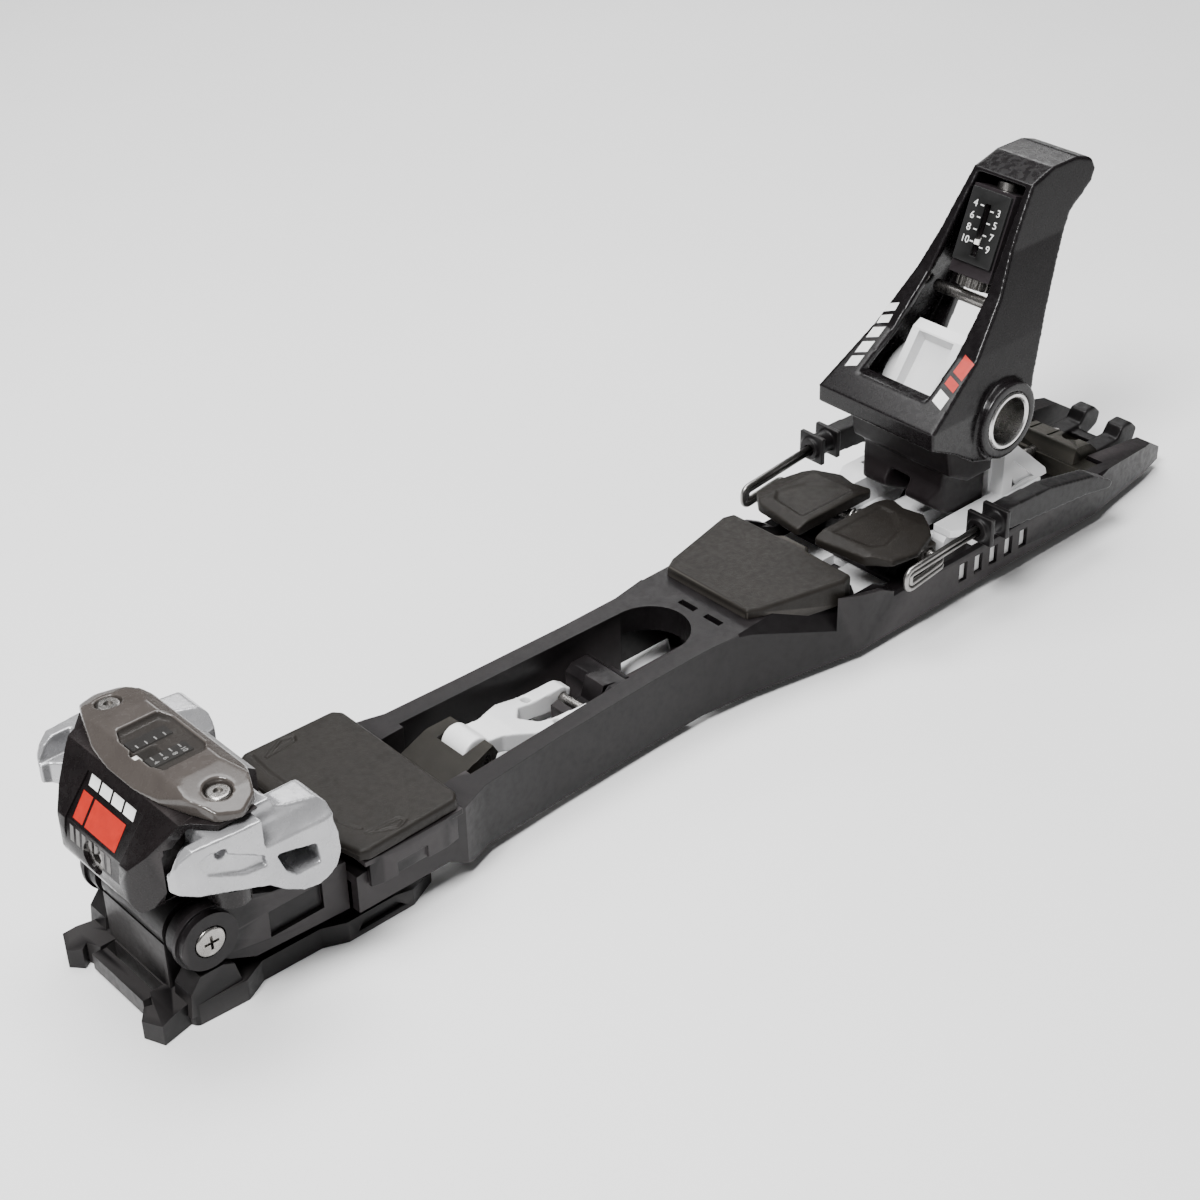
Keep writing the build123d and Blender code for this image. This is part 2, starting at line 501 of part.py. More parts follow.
# Gliding pad under the boot's toe
with BuildPart() as gliding_pad:
    upright(both_sides([(14.5, 22), (17, 32.5), (20, 34), (55, 33), (57.5, 30)]), 31.7, STAND_HEIGHT)
    fillet(gliding_pad.edges().filter_by(Axis.Z), 1.5)
    fillet(gliding_pad.faces().sort_by(Axis.Z)[-1].edges(), 1.2)
keep(gliding_pad, "gliding_pad")

# ---------------------------------------------------------------- ski and walk lever

# Mode lever: a hand plate hinged on the frame, forked at its tip
with BuildPart() as mode_lever:
    sideways([(66, 12.6), (71, 14.5), (79, 18.5), (87, 19.2), (90.5, 24), (88, 28.4), (78, 26.6),
              (66, 21.5)], -13, 13)
    rod(cross_plane(LEVER_PIN_X, LEVER_PIN_Z), 4.5, -15, 15)
    block((78.5, 95), (-6.9, 6.9), (10, 40), Mode.SUBTRACT)
    for side in (-1, 1):
        upright([(x, side * y) for x, y in [(77, 13.5), (92, 13.5), (92, 10.5)]][::side], 10, 40,
                Mode.SUBTRACT)
    rod(cross_plane(LEVER_PIN_X, LEVER_PIN_Z), 2.5 + RUNNING_FIT, -20, 20, Mode.SUBTRACT)
    rod(cross_plane(LINK_FRONT_X, LINK_FRONT_Z), 2.0, -12.5, 12.5, Mode.SUBTRACT)
keep(mode_lever, "mode_lever")

# Pin between the lever and the fork
with BuildPart() as link_pin:
    rod(cross_plane(LINK_FRONT_X, LINK_FRONT_Z), 2.0, -11.4, 11.4)
keep(link_pin, "link_pin")


def along_link(distance, rise=0.0):
    """A point of the side view, this far along the fork from its eye and this far above its centre line."""
    length = ((LINK_REAR_X - LINK_FRONT_X) ** 2 + (LINK_REAR_Z - LINK_FRONT_Z) ** 2) ** 0.5
    along = ((LINK_REAR_X - LINK_FRONT_X) / length, (LINK_REAR_Z - LINK_FRONT_Z) / length)
    return (LINK_FRONT_X + along[0] * distance - along[1] * rise,
            LINK_FRONT_Z + along[1] * distance + along[0] * rise)


# Mode fork: a white cast link from the lever's eye to the latch slider
with BuildPart() as mode_fork:
    upright([(85, -6.3), (96, -6.5), (107, -11.2), (140, -12.5), (140, -6.6), (113, -5.4), (108, 0),
             (113, 5.4),
             (140, 6.6), (140, 12.5), (107, 11.2), (96, 6.5), (85, 6.3)], 5, 40)
    sideways([along_link(0, -3.2), along_link(49.6, -4.4), along_link(53.6, -2.5), along_link(53.6, 2.5),
              along_link(49.6, 4.4), along_link(34, 2.8), along_link(16, 3.6), along_link(0, 3.2)],
             -20, 20, Mode.INTERSECT)
    rod(cross_plane(LINK_FRONT_X, LINK_FRONT_Z), 5.6, -6.3, 6.3)
    rod(cross_plane(LINK_FRONT_X, LINK_FRONT_Z), 2.0 + RUNNING_FIT, -10, 10, Mode.SUBTRACT)
    rod(cross_plane(LINK_REAR_X, LINK_REAR_Z), 2.0, -20, 20, Mode.SUBTRACT)
    for side in (-1, 1):
        rod(standing_plane(119, side * 8.6), 1.8, 0, 40, Mode.SUBTRACT)
keep(mode_fork, "mode_fork")

# Fork pin, lying in the slider's open notch
with BuildPart() as fork_pin:
    rod(cross_plane(LINK_REAR_X, LINK_REAR_Z), 2.0, -12.2, 12.2)
keep(fork_pin, "fork_pin")

# Latch slider: notched block, guide, long bar and two fingers for the hooks of the rear base
with BuildPart() as latch_slider:
    sideways([(127, 8.5), (249, 8.5), (249, 12.5), (156, 12.5), (156, 20), (143.5, 22), (141, 14),
              (131, 13.4),
              (130.4, 18), (127, 17)], -4.8, 4.8)
    sideways([(143, 9), (156, 9), (156, 18.5), (153, 21), (146, 21), (143, 18.5)], -15, 15)
    block((241, 249), (-18, 18), (8.5, 18))
    for side in (-1, 1):
        block((219.5, 242), sorted((side * 13.5, side * 18)), (8.5, 12))
        rod(cross_plane(149.5, 15.5), 3.0, side * 13.5, side * 15, Mode.SUBTRACT)
keep(latch_slider, "latch_slider")

# ---------------------------------------------------------------- heel carriage

CARRIAGE_REAR_X = 357.0
LENGTH_SCREW_Z = 18.0
LENGTH_SCREW_PLANE = Plane(origin=(0, 0, LENGTH_SCREW_Z), x_dir=(0, 1, 0), z_dir=(1, 0, 0))
CHEEK_IN_Y = 14.0
CHEEK_OUT_Y = 20.2

# Heel carriage: a white casting in the track, with flanges over the rails and struts to the axle tube
with BuildPart() as heel_carriage:
    block((254, CARRIAGE_REAR_X), (-27, 27), (12.3, 16.8))
    block((305, CARRIAGE_REAR_X), (-7, 7), (12.3, 24))
    for side in (-1, 1):
        sideways([(299, 14), (CARRIAGE_REAR_X, 14), (CARRIAGE_REAR_X, 29.5), (303, 29.5), (299, 24)],
                 *sorted((side * 20.8, side * 27)))
        flange = [(300, 20.8), (352, 20.8), (352, 31), (345, 33.5), (308, 33.5), (300, 29)]
        upright([(x, side * y) for x, y in flange][::side], 26.5, 29.5)
        # skirt of the flange, down to the rail
        block((308, 345), sorted((side * 31, side * 33.5)), (21.8, 27))
        # broad strut behind the heel unit
        sideways([(334, 29), (362, 29), (361, 32), (341, 50), (334, 50)], *sorted((side * 19, side * 26)))
        sideways([(340, 31), (354, 31), (340, 43.5)], *sorted((side * 24.5, side * 27)), mode=Mode.SUBTRACT)
        sideways([(334, 12.3), (CARRIAGE_REAR_X, 12.3), (356.5, 19), (336, 53), (336, 60), (331.5, 60),
                  (331.5, 50)],
                 *sorted((side * CHEEK_IN_Y, side * CHEEK_OUT_Y)))
        rod(cross_plane(HEEL_AXLE_X, HEEL_AXLE_Z), HEEL_AXLE_RADIUS + 3.5, side * CHEEK_IN_Y,
            side * CHEEK_OUT_Y)
        # triangular recess in each strut and a slot in each flange
        sideways([(338, 18), (351, 18), (338, 41)], *sorted((side * 18.5, side * 25)), mode=Mode.SUBTRACT)
        block((315, 333), sorted((side * 28.5, side * 30.5)), (20, 40), Mode.SUBTRACT)
    rod(cross_plane(HEEL_AXLE_X, HEEL_AXLE_Z), HEEL_AXLE_RADIUS, -30, 30, Mode.SUBTRACT)
    rod(LENGTH_SCREW_PLANE, 3.0 + RUNNING_FIT, 306, 360, Mode.SUBTRACT)
    # central slot in the front apron
    block((258, 272), (-4, 4), (10, 20), Mode.SUBTRACT)
keep(heel_carriage, "heel_carriage")

TUBE_END = 32.0            # half length of the axle tube

# Axle tube of the heel unit, open right through
with BuildPart() as axle_tube:
    rod(cross_plane(HEEL_AXLE_X, HEEL_AXLE_Z), HEEL_AXLE_RADIUS, -TUBE_END, TUBE_END)
    rod(cross_plane(HEEL_AXLE_X, HEEL_AXLE_Z), HEEL_AXLE_RADIUS - 2.2, -40, 40, Mode.SUBTRACT)
    chamfer(axle_tube.edges().filter_by(GeomType.CIRCLE), 0.6)
keep(axle_tube, "axle_tube")


def from_axle(forward, rise):
    """A point of the side view, given from the axle tube's centre."""
    return (HEEL_AXLE_X + forward, HEEL_AXLE_Z + rise)


# Cam bracket: a white U-shaped frame on the axle tube, facing the boot
with BuildPart() as cam_bracket:
    sideways([from_axle(-24, 2), from_axle(-20, -3), from_axle(-10, -3), from_axle(-6, 10),
              from_axle(1, 20),
              from_axle(1, 26), from_axle(-3, 29), from_axle(-7, 27)], -12, 12)
    rod(cross_plane(HEEL_AXLE_X, HEEL_AXLE_Z), HEEL_AXLE_RADIUS + 2.5, -13.8, 13.8)
    sideways([from_axle(-28, 6), from_axle(-23, 0), from_axle(-18.5, 1), from_axle(-3.5, 21),
              from_axle(-6, 25),
              from_axle(-11, 30)], -8.5, 8.5, Mode.SUBTRACT)
    rod(cross_plane(HEEL_AXLE_X, HEEL_AXLE_Z), HEEL_AXLE_RADIUS, -30, 30, Mode.SUBTRACT)
keep(cam_bracket, "cam_bracket")

# Length screw, turning in the adjuster block and drawing the carriage along
with BuildPart() as length_screw:
    rod(LENGTH_SCREW_PLANE, 3.0, 337, 401)
    rod(LENGTH_SCREW_PLANE, 5.0, 400.4, 403.6)
    with BuildSketch(LENGTH_SCREW_PLANE.offset(404)) as socket:
        RegularPolygon(2.6, 6)
    extrude(socket.sketch, amount=-2.8, mode=Mode.SUBTRACT)
keep(length_screw, "length_screw")

# ---------------------------------------------------------------- ski brake

# Brake bracket: ears on the carriage's apron that carry the brake shaft
with BuildPart() as brake_bracket:
    block((271, 291), (-25, 25), (16.8, 19))
    for side in (-1, 1):
        sideways([(273, 17), (288, 17), (BRAKE_X + 3.2, BRAKE_Z), (BRAKE_X - 3.2, BRAKE_Z)],
                 *sorted((side * 21, side * 25)))
        rod(cross_plane(BRAKE_X, BRAKE_Z), 3.4, *sorted((side * 21, side * 25)))
    rod(cross_plane(BRAKE_X, BRAKE_Z), 2.5 + RUNNING_FIT, -30, 30, Mode.SUBTRACT)
keep(brake_bracket, "brake_bracket")

# Brake shaft
BRAKE_SHAFT_END = 37.6
with BuildPart() as brake_shaft:
    rod(cross_plane(BRAKE_X, BRAKE_Z), 2.5, -BRAKE_SHAFT_END, BRAKE_SHAFT_END)
keep(brake_shaft, "brake_shaft")


def brake_pedal(side):
    """One wing-shaped pedal with a lug round the shaft."""
    plan = [(250.5, 4), (253, 27), (260, 35), (272, 37), (284, 33), (293.5, 21), (291, 13), (293.5, 6),
            (291, 3.8)]
    with BuildPart() as pedal:
        upright([(x, side * y) for x, y in plan][::side], 33.6, 38.6)
        fillet(pedal.edges().filter_by(Axis.Z), 1.5)
        sideways([(249, 33), (249, 36.2), (256, 38.6), (284, 38.6), (295, 36.2), (295, 33)], -40, 40,
                 Mode.INTERSECT)
        # the outer edge slopes down
        lengthways([(side * 27, 38.7), (side * 40, 35), (side * 40, 40)][::-side], 240, 300, Mode.SUBTRACT)
        for place in (10, 31):
            block((277, 285), sorted((side * place, side * (place + 4))), (BRAKE_Z, 34))
            rod(cross_plane(BRAKE_X, BRAKE_Z), 4.0, side * place, side * (place + 4))
        rod(cross_plane(BRAKE_X, BRAKE_Z), 2.5, -40, 40, Mode.SUBTRACT)
        # long dished panel on top
        upright([(x, side * y) for x, y in [(257, 8), (259, 24), (264, 28), (276, 24), (284, 14),
                                            (284, 8)]][::side],
                37.8, 40, Mode.SUBTRACT)
    return pedal


brake_pedal_far = brake_pedal(1)
keep(brake_pedal_far, "brake_pedal_far")
brake_pedal_near = brake_pedal(-1)
keep(brake_pedal_near, "brake_pedal_near")

# Brake arms: bent steel wires outside the rails, doubled at the front
with BuildPart() as brake_arms:
    for side in (-1, 1):
        with BuildLine() as route:
            FilletPolyline((BRAKE_X, side * BRAKE_SHAFT_END, BRAKE_Z),
                           (BRAKE_X, side * BRAKE_ARM_Y, BRAKE_Z),
                           (261, side * BRAKE_ARM_Y, 27.3), (261, side * BRAKE_ARM_Y, 33.6),
                           (306, side * (BRAKE_ARM_Y + 1), 37.5), radius=[3, 2.5, 2.5])
        with BuildSketch(Plane(origin=route.line @ 0, z_dir=route.line % 0)) as section:
            Circle(WIRE_RADIUS)
        sweep(section.sketch, path=route.line)
keep(brake_arms, "brake_arms")

# Brake feet: moulded tips with two flanges over each wire's end
with BuildPart() as brake_feet:
    for side in (-1, 1):
        foot_plane = Plane(origin=(0, side * (BRAKE_ARM_Y + 1), 37.2), x_dir=(0, 1, 0), z_dir=(1, 0, 0))
        rod(foot_plane, 4.6, 297.5, 312)
        for x in (299, 308):
            block((x, x + 2), sorted((side * 37, side * 49)), (31.5, 43))
        sideways([(310, 32.5), (326, 31), (362, 27.5), (377, 24.5), (379, 27), (366, 34.5), (338, 40.5),
                  (310, 42)],
                 *sorted((side * 38.5, side * 46)))
    fillet(brake_feet.edges().filter_by(Axis.Y).filter_by_position(Axis.X, 361, 380), 1.2)
    add(brake_arms.part, mode=Mode.SUBTRACT)
keep(brake_feet, "brake_feet")

# Torsion spring round the brake shaft, between the pedals
with BuildPart() as brake_spring:
    coil(Plane(origin=(BRAKE_X, -2.7, BRAKE_Z), x_dir=(-1, 0, 0), z_dir=(0, 1, 0)), 3.6, 0.7, 3, 5.4)
keep(brake_spring, "brake_spring")

# ---------------------------------------------------------------- heel unit

SHELL_SIDE = [(286, 76), (286.5, 69), (300, 62.5), (311, 55), (322, 51.5), (333, 54), (340, 64),
              (345, 79), (354.5, 100), (364.5, 118), (374, 134), (381.5, 138.5), (387, 142),
              (389.5, 146.5), (387, 151), (379, 153.5), (364, 153.5), (352, 150), (343, 136),
              (330, 114), (313, 95), (296, 83)]
SHELL_FRONT = [(28.5, 50), (28.5, 76), (24.5, 96), (17, 128), (13.5, 154)]
SHELL_WALL = 3.6

# Heel shell: the big black lever, hollow and open towards the boot
with BuildPart() as heel_shell:
    sideways(SHELL_SIDE, -40, 40)
    lengthways(SHELL_FRONT + [(-y, z) for y, z in reversed(SHELL_FRONT)], 280, 410, Mode.INTERSECT)
    fillet(heel_shell.edges().filter_by_position(Axis.X, 375, 410).filter_by_position(Axis.Z, 138, 155)
           .filter_by(Axis.Y), 2)
    # hollow, drawn from the side and narrowed by the walls
    with BuildSketch(Plane.XZ) as hollow_side:
        Polygon((292, 40), (292, 77.5), (299.5, 81), (315.5, 92.5), (333, 112.5), (346.5, 135),
                (354, 147.8),
                (367.5, 147.5), (367.5, 134), (359, 119), (350, 101), (343.5, 86), (344, 40), align=None)
    with BuildPart(mode=Mode.PRIVATE) as hollow:
        extrude(hollow_side.sketch, amount=40, both=True)
        inner = [(y - SHELL_WALL, z) for y, z in SHELL_FRONT]
        inner[0] = (SHELL_FRONT[0][0] - SHELL_WALL, 30)
        lengthways(inner + [(-y, z) for y, z in reversed(inner)], 270, 410, Mode.INTERSECT)
    add(hollow.part, mode=Mode.SUBTRACT)
    # window in the front, between two broad flanges
    window = [(16.5, 82), (12, 138), (11, 148.5)]
    lengthways(window + [(-y, z) for y, z in reversed(window)], 280, 356, Mode.SUBTRACT)
    # boss round each end of the axle tube
    for side in (-1, 1):
        rod(cross_plane(HEEL_AXLE_X, HEEL_AXLE_Z), HEEL_AXLE_RADIUS + 4, side * 25, side * (TUBE_END - 0.4))
    rod(cross_plane(HEEL_AXLE_X, HEEL_AXLE_Z), HEEL_AXLE_RADIUS + RUNNING_FIT, -40, 40, Mode.SUBTRACT)
    # shallow seat under the tip, for a ski pole
    rod(cross_plane(381.5, 132.5), 6.5, -8, 8, Mode.SUBTRACT)
keep(heel_shell, "heel_shell")

# Treadle: a two-lobed foot under the boot's heel, swinging with the shell
with BuildPart() as treadle:
    sideways([(305, 61), (304, 43), (300.5, 37.5), (300.5, 35.2), (304, 32.6), (312, 28.6), (322, 26.1),
              (330, 26.1),
              (330, 52), (320, 61)], -20, 20)
    sideways([(300, 63), (303, 50), (314, 44), (328, 44), (328, 53), (322, 60)], -24.7, 24.7)
    block((290, 316), (-5, 5), (20, 42), Mode.SUBTRACT)
    rod(cross_plane(HEEL_AXLE_X, HEEL_AXLE_Z), HEEL_AXLE_RADIUS + 4.1, -30, 30, Mode.SUBTRACT)
    # room for the cam bracket as the heel unit opens
    rod(cross_plane(HEEL_AXLE_X, HEEL_AXLE_Z), HEEL_AXLE_RADIUS + 14, -14.6, 14.6, Mode.SUBTRACT)
    # rounded outer corners of the lobes
    for side in (-1, 1):
        upright([(x, side * y) for x, y in [(298, 14), (306, 21), (298, 21)]][::side], 20, 43,
                Mode.SUBTRACT)
keep(treadle, "treadle")

SHELL_LEAN = radians(69)   # lean of the spring housing, from the horizontal
SPRING_AXIS = Plane(origin=(HEEL_AXLE_X, 0, HEEL_AXLE_Z), x_dir=(0, 1, 0),
                    z_dir=(cos(SHELL_LEAN), 0, sin(SHELL_LEAN)))


def along_spring(distance, rearward):
    """A point of the side view, this far up the spring housing's axis and this far behind it."""
    return (HEEL_AXLE_X + distance * cos(SHELL_LEAN) + rearward * sin(SHELL_LEAN),
            HEEL_AXLE_Z + distance * sin(SHELL_LEAN) - rearward * cos(SHELL_LEAN))


# Spring housing inside the shell
with BuildPart() as spring_housing:
    sideways([along_spring(46, -8), along_spring(80, -8), along_spring(80, 8), along_spring(46, 8)], -9.6,
             9.6)
    rod(SPRING_AXIS, 6.2, 40, 74, Mode.SUBTRACT)
    rod(SPRING_AXIS, 2.6 + RUNNING_FIT, 70, 90, Mode.SUBTRACT)
    sideways([along_spring(54, -10), along_spring(74, -10), along_spring(74, -4), along_spring(54, -4)],
             -1.3, 1.3, Mode.SUBTRACT)
keep(spring_housing, "spring_housing")

# Scale plate on the spring housing's front, with a slot for the pointer
with BuildPart() as scale_plate:
    sideways([along_spring(51, -9.6), along_spring(79, -9.6), along_spring(79, -8), along_spring(51, -8)],
             -9, 9)
    sideways([along_spring(54, -12), along_spring(74, -12), along_spring(74, -6), along_spring(54, -6)],
             -1.3, 1.3, Mode.SUBTRACT)
keep(scale_plate, "scale_plate")

# Setting screw of the heel, down the middle of the spring
with BuildPart() as heel_setting_screw:
    rod(SPRING_AXIS, 2.6, 50, 81)
    rod(SPRING_AXIS, 4.4, 80.2, 83)
    with BuildSketch(SPRING_AXIS.offset(83.4)) as socket:
        RegularPolygon(2.4, 6)
    extrude(socket.sketch, amount=-2.2, mode=Mode.SUBTRACT)
keep(heel_setting_screw, "heel_setting_screw")

# Spring nut of the heel, with its pointer in the slot
with BuildPart() as heel_spring_nut:
    rod(SPRING_AXIS, 5.9, 58, 61)
    sideways([along_spring(58.6, -9.8), along_spring(60.4, -9.8), along_spring(60.4, -5),
              along_spring(58.6, -5)],
             -1.1, 1.1)
    rod(SPRING_AXIS, 2.6 + RUNNING_FIT, 50, 70, Mode.SUBTRACT)
keep(heel_spring_nut, "heel_spring_nut")

# Knurled wheel that closes the spring housing
KNURLS = 20
with BuildPart() as knurled_wheel:
    rod(SPRING_AXIS, 8.6, 42, 45.8)
    with BuildSketch(SPRING_AXIS.offset(41)) as knurl:
        with PolarLocations(8.6, KNURLS):
            Circle(0.75)
    extrude(knurl.sketch, amount=6, mode=Mode.SUBTRACT)
keep(knurled_wheel, "knurled_wheel")

# Heel spring
with BuildPart() as heel_spring:
    coil(SPRING_AXIS.offset(47.5), 4.6, 1.1, 4, 8)
keep(heel_spring, "heel_spring")

# Cross pin between the shell's walls, below the knurled wheel
with BuildPart() as cross_pin:
    rod(cross_plane(*along_spring(38, -2)), 2.4, -17, 17)
keep(cross_pin, "cross_pin")
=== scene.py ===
import json
import math

import bmesh
import bpy
from mathutils import Matrix, Vector
from mathutils.bvhtree import BVHTree


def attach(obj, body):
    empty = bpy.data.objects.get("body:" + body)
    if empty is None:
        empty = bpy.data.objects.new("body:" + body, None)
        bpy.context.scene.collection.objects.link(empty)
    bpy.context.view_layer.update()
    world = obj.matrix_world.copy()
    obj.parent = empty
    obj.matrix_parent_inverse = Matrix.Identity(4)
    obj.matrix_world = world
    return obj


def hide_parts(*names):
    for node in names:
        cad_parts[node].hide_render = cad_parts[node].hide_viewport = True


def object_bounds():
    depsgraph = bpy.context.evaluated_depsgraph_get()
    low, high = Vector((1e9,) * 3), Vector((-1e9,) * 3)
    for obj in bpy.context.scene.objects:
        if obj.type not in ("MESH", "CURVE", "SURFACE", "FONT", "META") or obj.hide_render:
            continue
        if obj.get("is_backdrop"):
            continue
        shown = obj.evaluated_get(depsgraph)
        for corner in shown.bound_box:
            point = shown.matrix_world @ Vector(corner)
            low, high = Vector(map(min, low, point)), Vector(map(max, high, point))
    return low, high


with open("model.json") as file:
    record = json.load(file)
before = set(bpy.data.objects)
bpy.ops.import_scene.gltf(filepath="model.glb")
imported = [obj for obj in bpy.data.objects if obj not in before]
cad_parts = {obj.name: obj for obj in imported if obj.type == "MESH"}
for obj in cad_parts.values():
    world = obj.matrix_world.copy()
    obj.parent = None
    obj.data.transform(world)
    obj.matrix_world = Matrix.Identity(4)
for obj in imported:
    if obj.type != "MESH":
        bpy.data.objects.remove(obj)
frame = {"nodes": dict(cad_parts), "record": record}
NODES = frame["nodes"]
SLOT_OF = {row["node"]: row["material_slot"] for row in frame["record"]["subparts"]}
BODY_OF = {
    node: body
    for body, members in frame["record"]["behaviour"]["bodies"].items()
    for node in members
}
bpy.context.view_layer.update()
MM = 0.001

# ---------------------------------------------------------------- driving places, in millimetres
HEEL_AXLE = (327.0, 68.0)       # axle tube, as (x, z)
SPRING_LEAN = math.radians(69)  # lean of the heel's spring axis
BRAKE_SHAFT = (281.0, 30.0)     # brake shaft, as (x, z)


# ---------------------------------------------------------------- helpers
def set_all(thing, **settings):
    """Sets several properties of a thing, and returns it."""
    for key, value in settings.items():
        setattr(thing, key, value)
    return thing


def fill(node, values):
    """Sets inputs of a shader node by name."""
    for name, value in values.items():
        node.inputs[name].default_value = value


def colour_socket(sockets, name):
    """The colour socket of this name: a mix node has several sockets of each name."""
    return next(socket for socket in sockets if socket.name == name and socket.type == "RGBA")


def placed(name, data):
    """A new object of the scene, made of this data."""
    obj = bpy.data.objects.new(name, data)
    bpy.context.scene.collection.objects.link(obj)
    return obj


def closed(name, mesh):
    """Mesh data from a bmesh, its faces turned outwards."""
    bmesh.ops.recalc_face_normals(mesh, faces=mesh.faces)
    data = bpy.data.meshes.new(name)
    mesh.to_mesh(data)
    mesh.free()
    return data


def worked_out(obj):
    """The mesh that an object's modifiers or its curve make."""
    bpy.context.view_layer.update()
    return bpy.data.meshes.new_from_object(obj.evaluated_get(bpy.context.evaluated_depsgraph_get()))


def shade_smooth(data):
    for face in data.polygons:
        face.use_smooth = True


def paint(obj, material):
    obj.data.materials.clear()
    obj.data.materials.append(material)


# ---------------------------------------------------------------- node materials
class Surface:
    """A procedural material whose nodes are added one at a time."""

    def __init__(self, name):
        self.material = bpy.data.materials.new(name)
        self.material.use_nodes = True
        self.tree = self.material.node_tree
        self.shader = self.tree.nodes["Principled BSDF"]
        self.place = self.node("ShaderNodeTexCoord").outputs["Object"]

    def node(self, kind, **settings):
        return set_all(self.tree.nodes.new(kind), **settings)

    def link(self, source, target):
        self.tree.links.new(source, target)

    def stretched(self, scale):
        """The object's own coordinates, stretched by a factor per axis."""
        mapping = self.node("ShaderNodeMapping")
        fill(mapping, {"Scale": scale})
        self.link(self.place, mapping.inputs["Vector"])
        return mapping.outputs["Vector"]

    def noise(self, scale, detail, roughness=0.55, stretch=None):
        made = self.node("ShaderNodeTexNoise")
        fill(made, {"Scale": scale, "Detail": detail, "Roughness": roughness})
        self.link(self.stretched(stretch) if stretch else self.place, made.inputs["Vector"])
        return made.outputs["Fac"]

    def spread(self, factor, low, high, start=0.3, end=0.7):
        """Maps a factor's stretch from start to end on to the values from low to high."""
        made = self.node("ShaderNodeMapRange")
        fill(made, {"From Min": start, "From Max": end, "To Min": low, "To Max": high})
        self.link(factor, made.inputs["Value"])
        return made.outputs["Result"]

    def mix(self, factor, first, second):
        """Mixes two colours, each a tuple or a socket."""
        made = self.node("ShaderNodeMix", data_type="RGBA")
        self.link(factor, made.inputs["Factor"])
        for name, value in (("A", first), ("B", second)):
            socket = colour_socket(made.inputs, name)
            if isinstance(value, tuple):
                socket.default_value = (*value, 1)
            else:
                self.link(value, socket)
        return colour_socket(made.outputs, "Result")

    def clouds(self, first, second, scale, detail, roughness=0.55):
        """Two colours, one in soft clouds on the other."""
        return self.mix(self.spread(self.noise(scale, detail, roughness), low=0, high=1), first, second)

    def edges(self):
        """About 1 on worn outside edges and 0 elsewhere."""
        point = self.node("ShaderNodeNewGeometry").outputs["Pointiness"]
        return self.spread(point, low=0, high=1, start=0.52, end=0.58)

    def relief(self, factor, strength, distance):
        made = self.node("ShaderNodeBump")
        fill(made, {"Strength": strength, "Distance": distance})
        self.link(factor, made.inputs["Height"])
        self.link(made.outputs["Normal"], self.shader.inputs["Normal"])

    def colour(self, socket):
        self.link(socket, self.shader.inputs["Base Color"])

    def roughness(self, socket):
        self.link(socket, self.shader.inputs["Roughness"])

    def settled(self, values):
        """Sets the shader's other inputs by name, and returns the finished material."""
        fill(self.shader, values)
        return self.material


def moulded(name, dark, light, worn, rough, grain, coat=0.0):
    """Injection-moulded plastic: fine pitted grain, faint cloudy colour and paler rubbed edges."""
    look = Surface(name)
    body = look.clouds(dark, light, scale=120, detail=6, roughness=0.7)
    look.colour(look.mix(look.edges(), body, worn))
    look.roughness(look.spread(look.noise(scale=420, detail=2), low=rough - 0.07, high=rough + 0.09))
    look.relief(look.noise(scale=2600, detail=2), grain, distance=0.0002)
    return look.settled({"Coat Weight": coat, "Coat Roughness": 0.12, "Specular IOR Level": 0.19})


def cast(name, base, shade, rough, metal):
    """Painted or coated casting: a little orange peel, and flecks over a cloudy colour."""
    look = Surface(name)
    body = look.clouds(shade, base, scale=55, detail=5)
    flecks = look.spread(look.noise(scale=1500, detail=1), low=0, high=0.35, start=0.55, end=0.75)
    look.colour(look.mix(flecks, body, base))
    look.roughness(look.spread(look.noise(scale=260, detail=3), low=rough - 0.06, high=rough + 0.08))
    look.relief(look.noise(scale=700, detail=2), strength=0.12, distance=0.0003)
    return look.settled({"Metallic": metal, "Coat Weight": 0.25, "Coat Roughness": 0.2})


def bare_metal(name, base, shade, rough, stretch):
    """Drawn or turned steel, with fine lines along its length and a little staining."""
    look = Surface(name)
    lines = look.noise(scale=900, detail=2, stretch=stretch)
    look.colour(look.clouds(shade, base, scale=90, detail=4))
    look.roughness(look.spread(lines, low=rough - 0.08, high=rough + 0.12))
    look.relief(lines, strength=0.16, distance=0.0002)
    return look.settled({"Metallic": 1.0})


def clear_smoke(name, base, shade, alpha):
    """Smoked window plastic with faint hairline scratches."""
    look = Surface(name)
    look.colour(look.clouds(shade, base, scale=60, detail=3))
    scratches = look.noise(scale=800, detail=2, stretch=(1, 6, 1))
    look.roughness(look.spread(scratches, low=0.05, high=0.22))
    return look.settled({"Alpha": alpha, "Coat Weight": 0.6})


def printed(name, ink, faded, rough):
    """Pad-printed ink, slightly uneven."""
    look = Surface(name)
    look.colour(look.clouds(faded, ink, scale=300, detail=4))
    look.roughness(look.spread(look.noise(scale=900, detail=2), low=rough - 0.05, high=rough + 0.1))
    return look.material


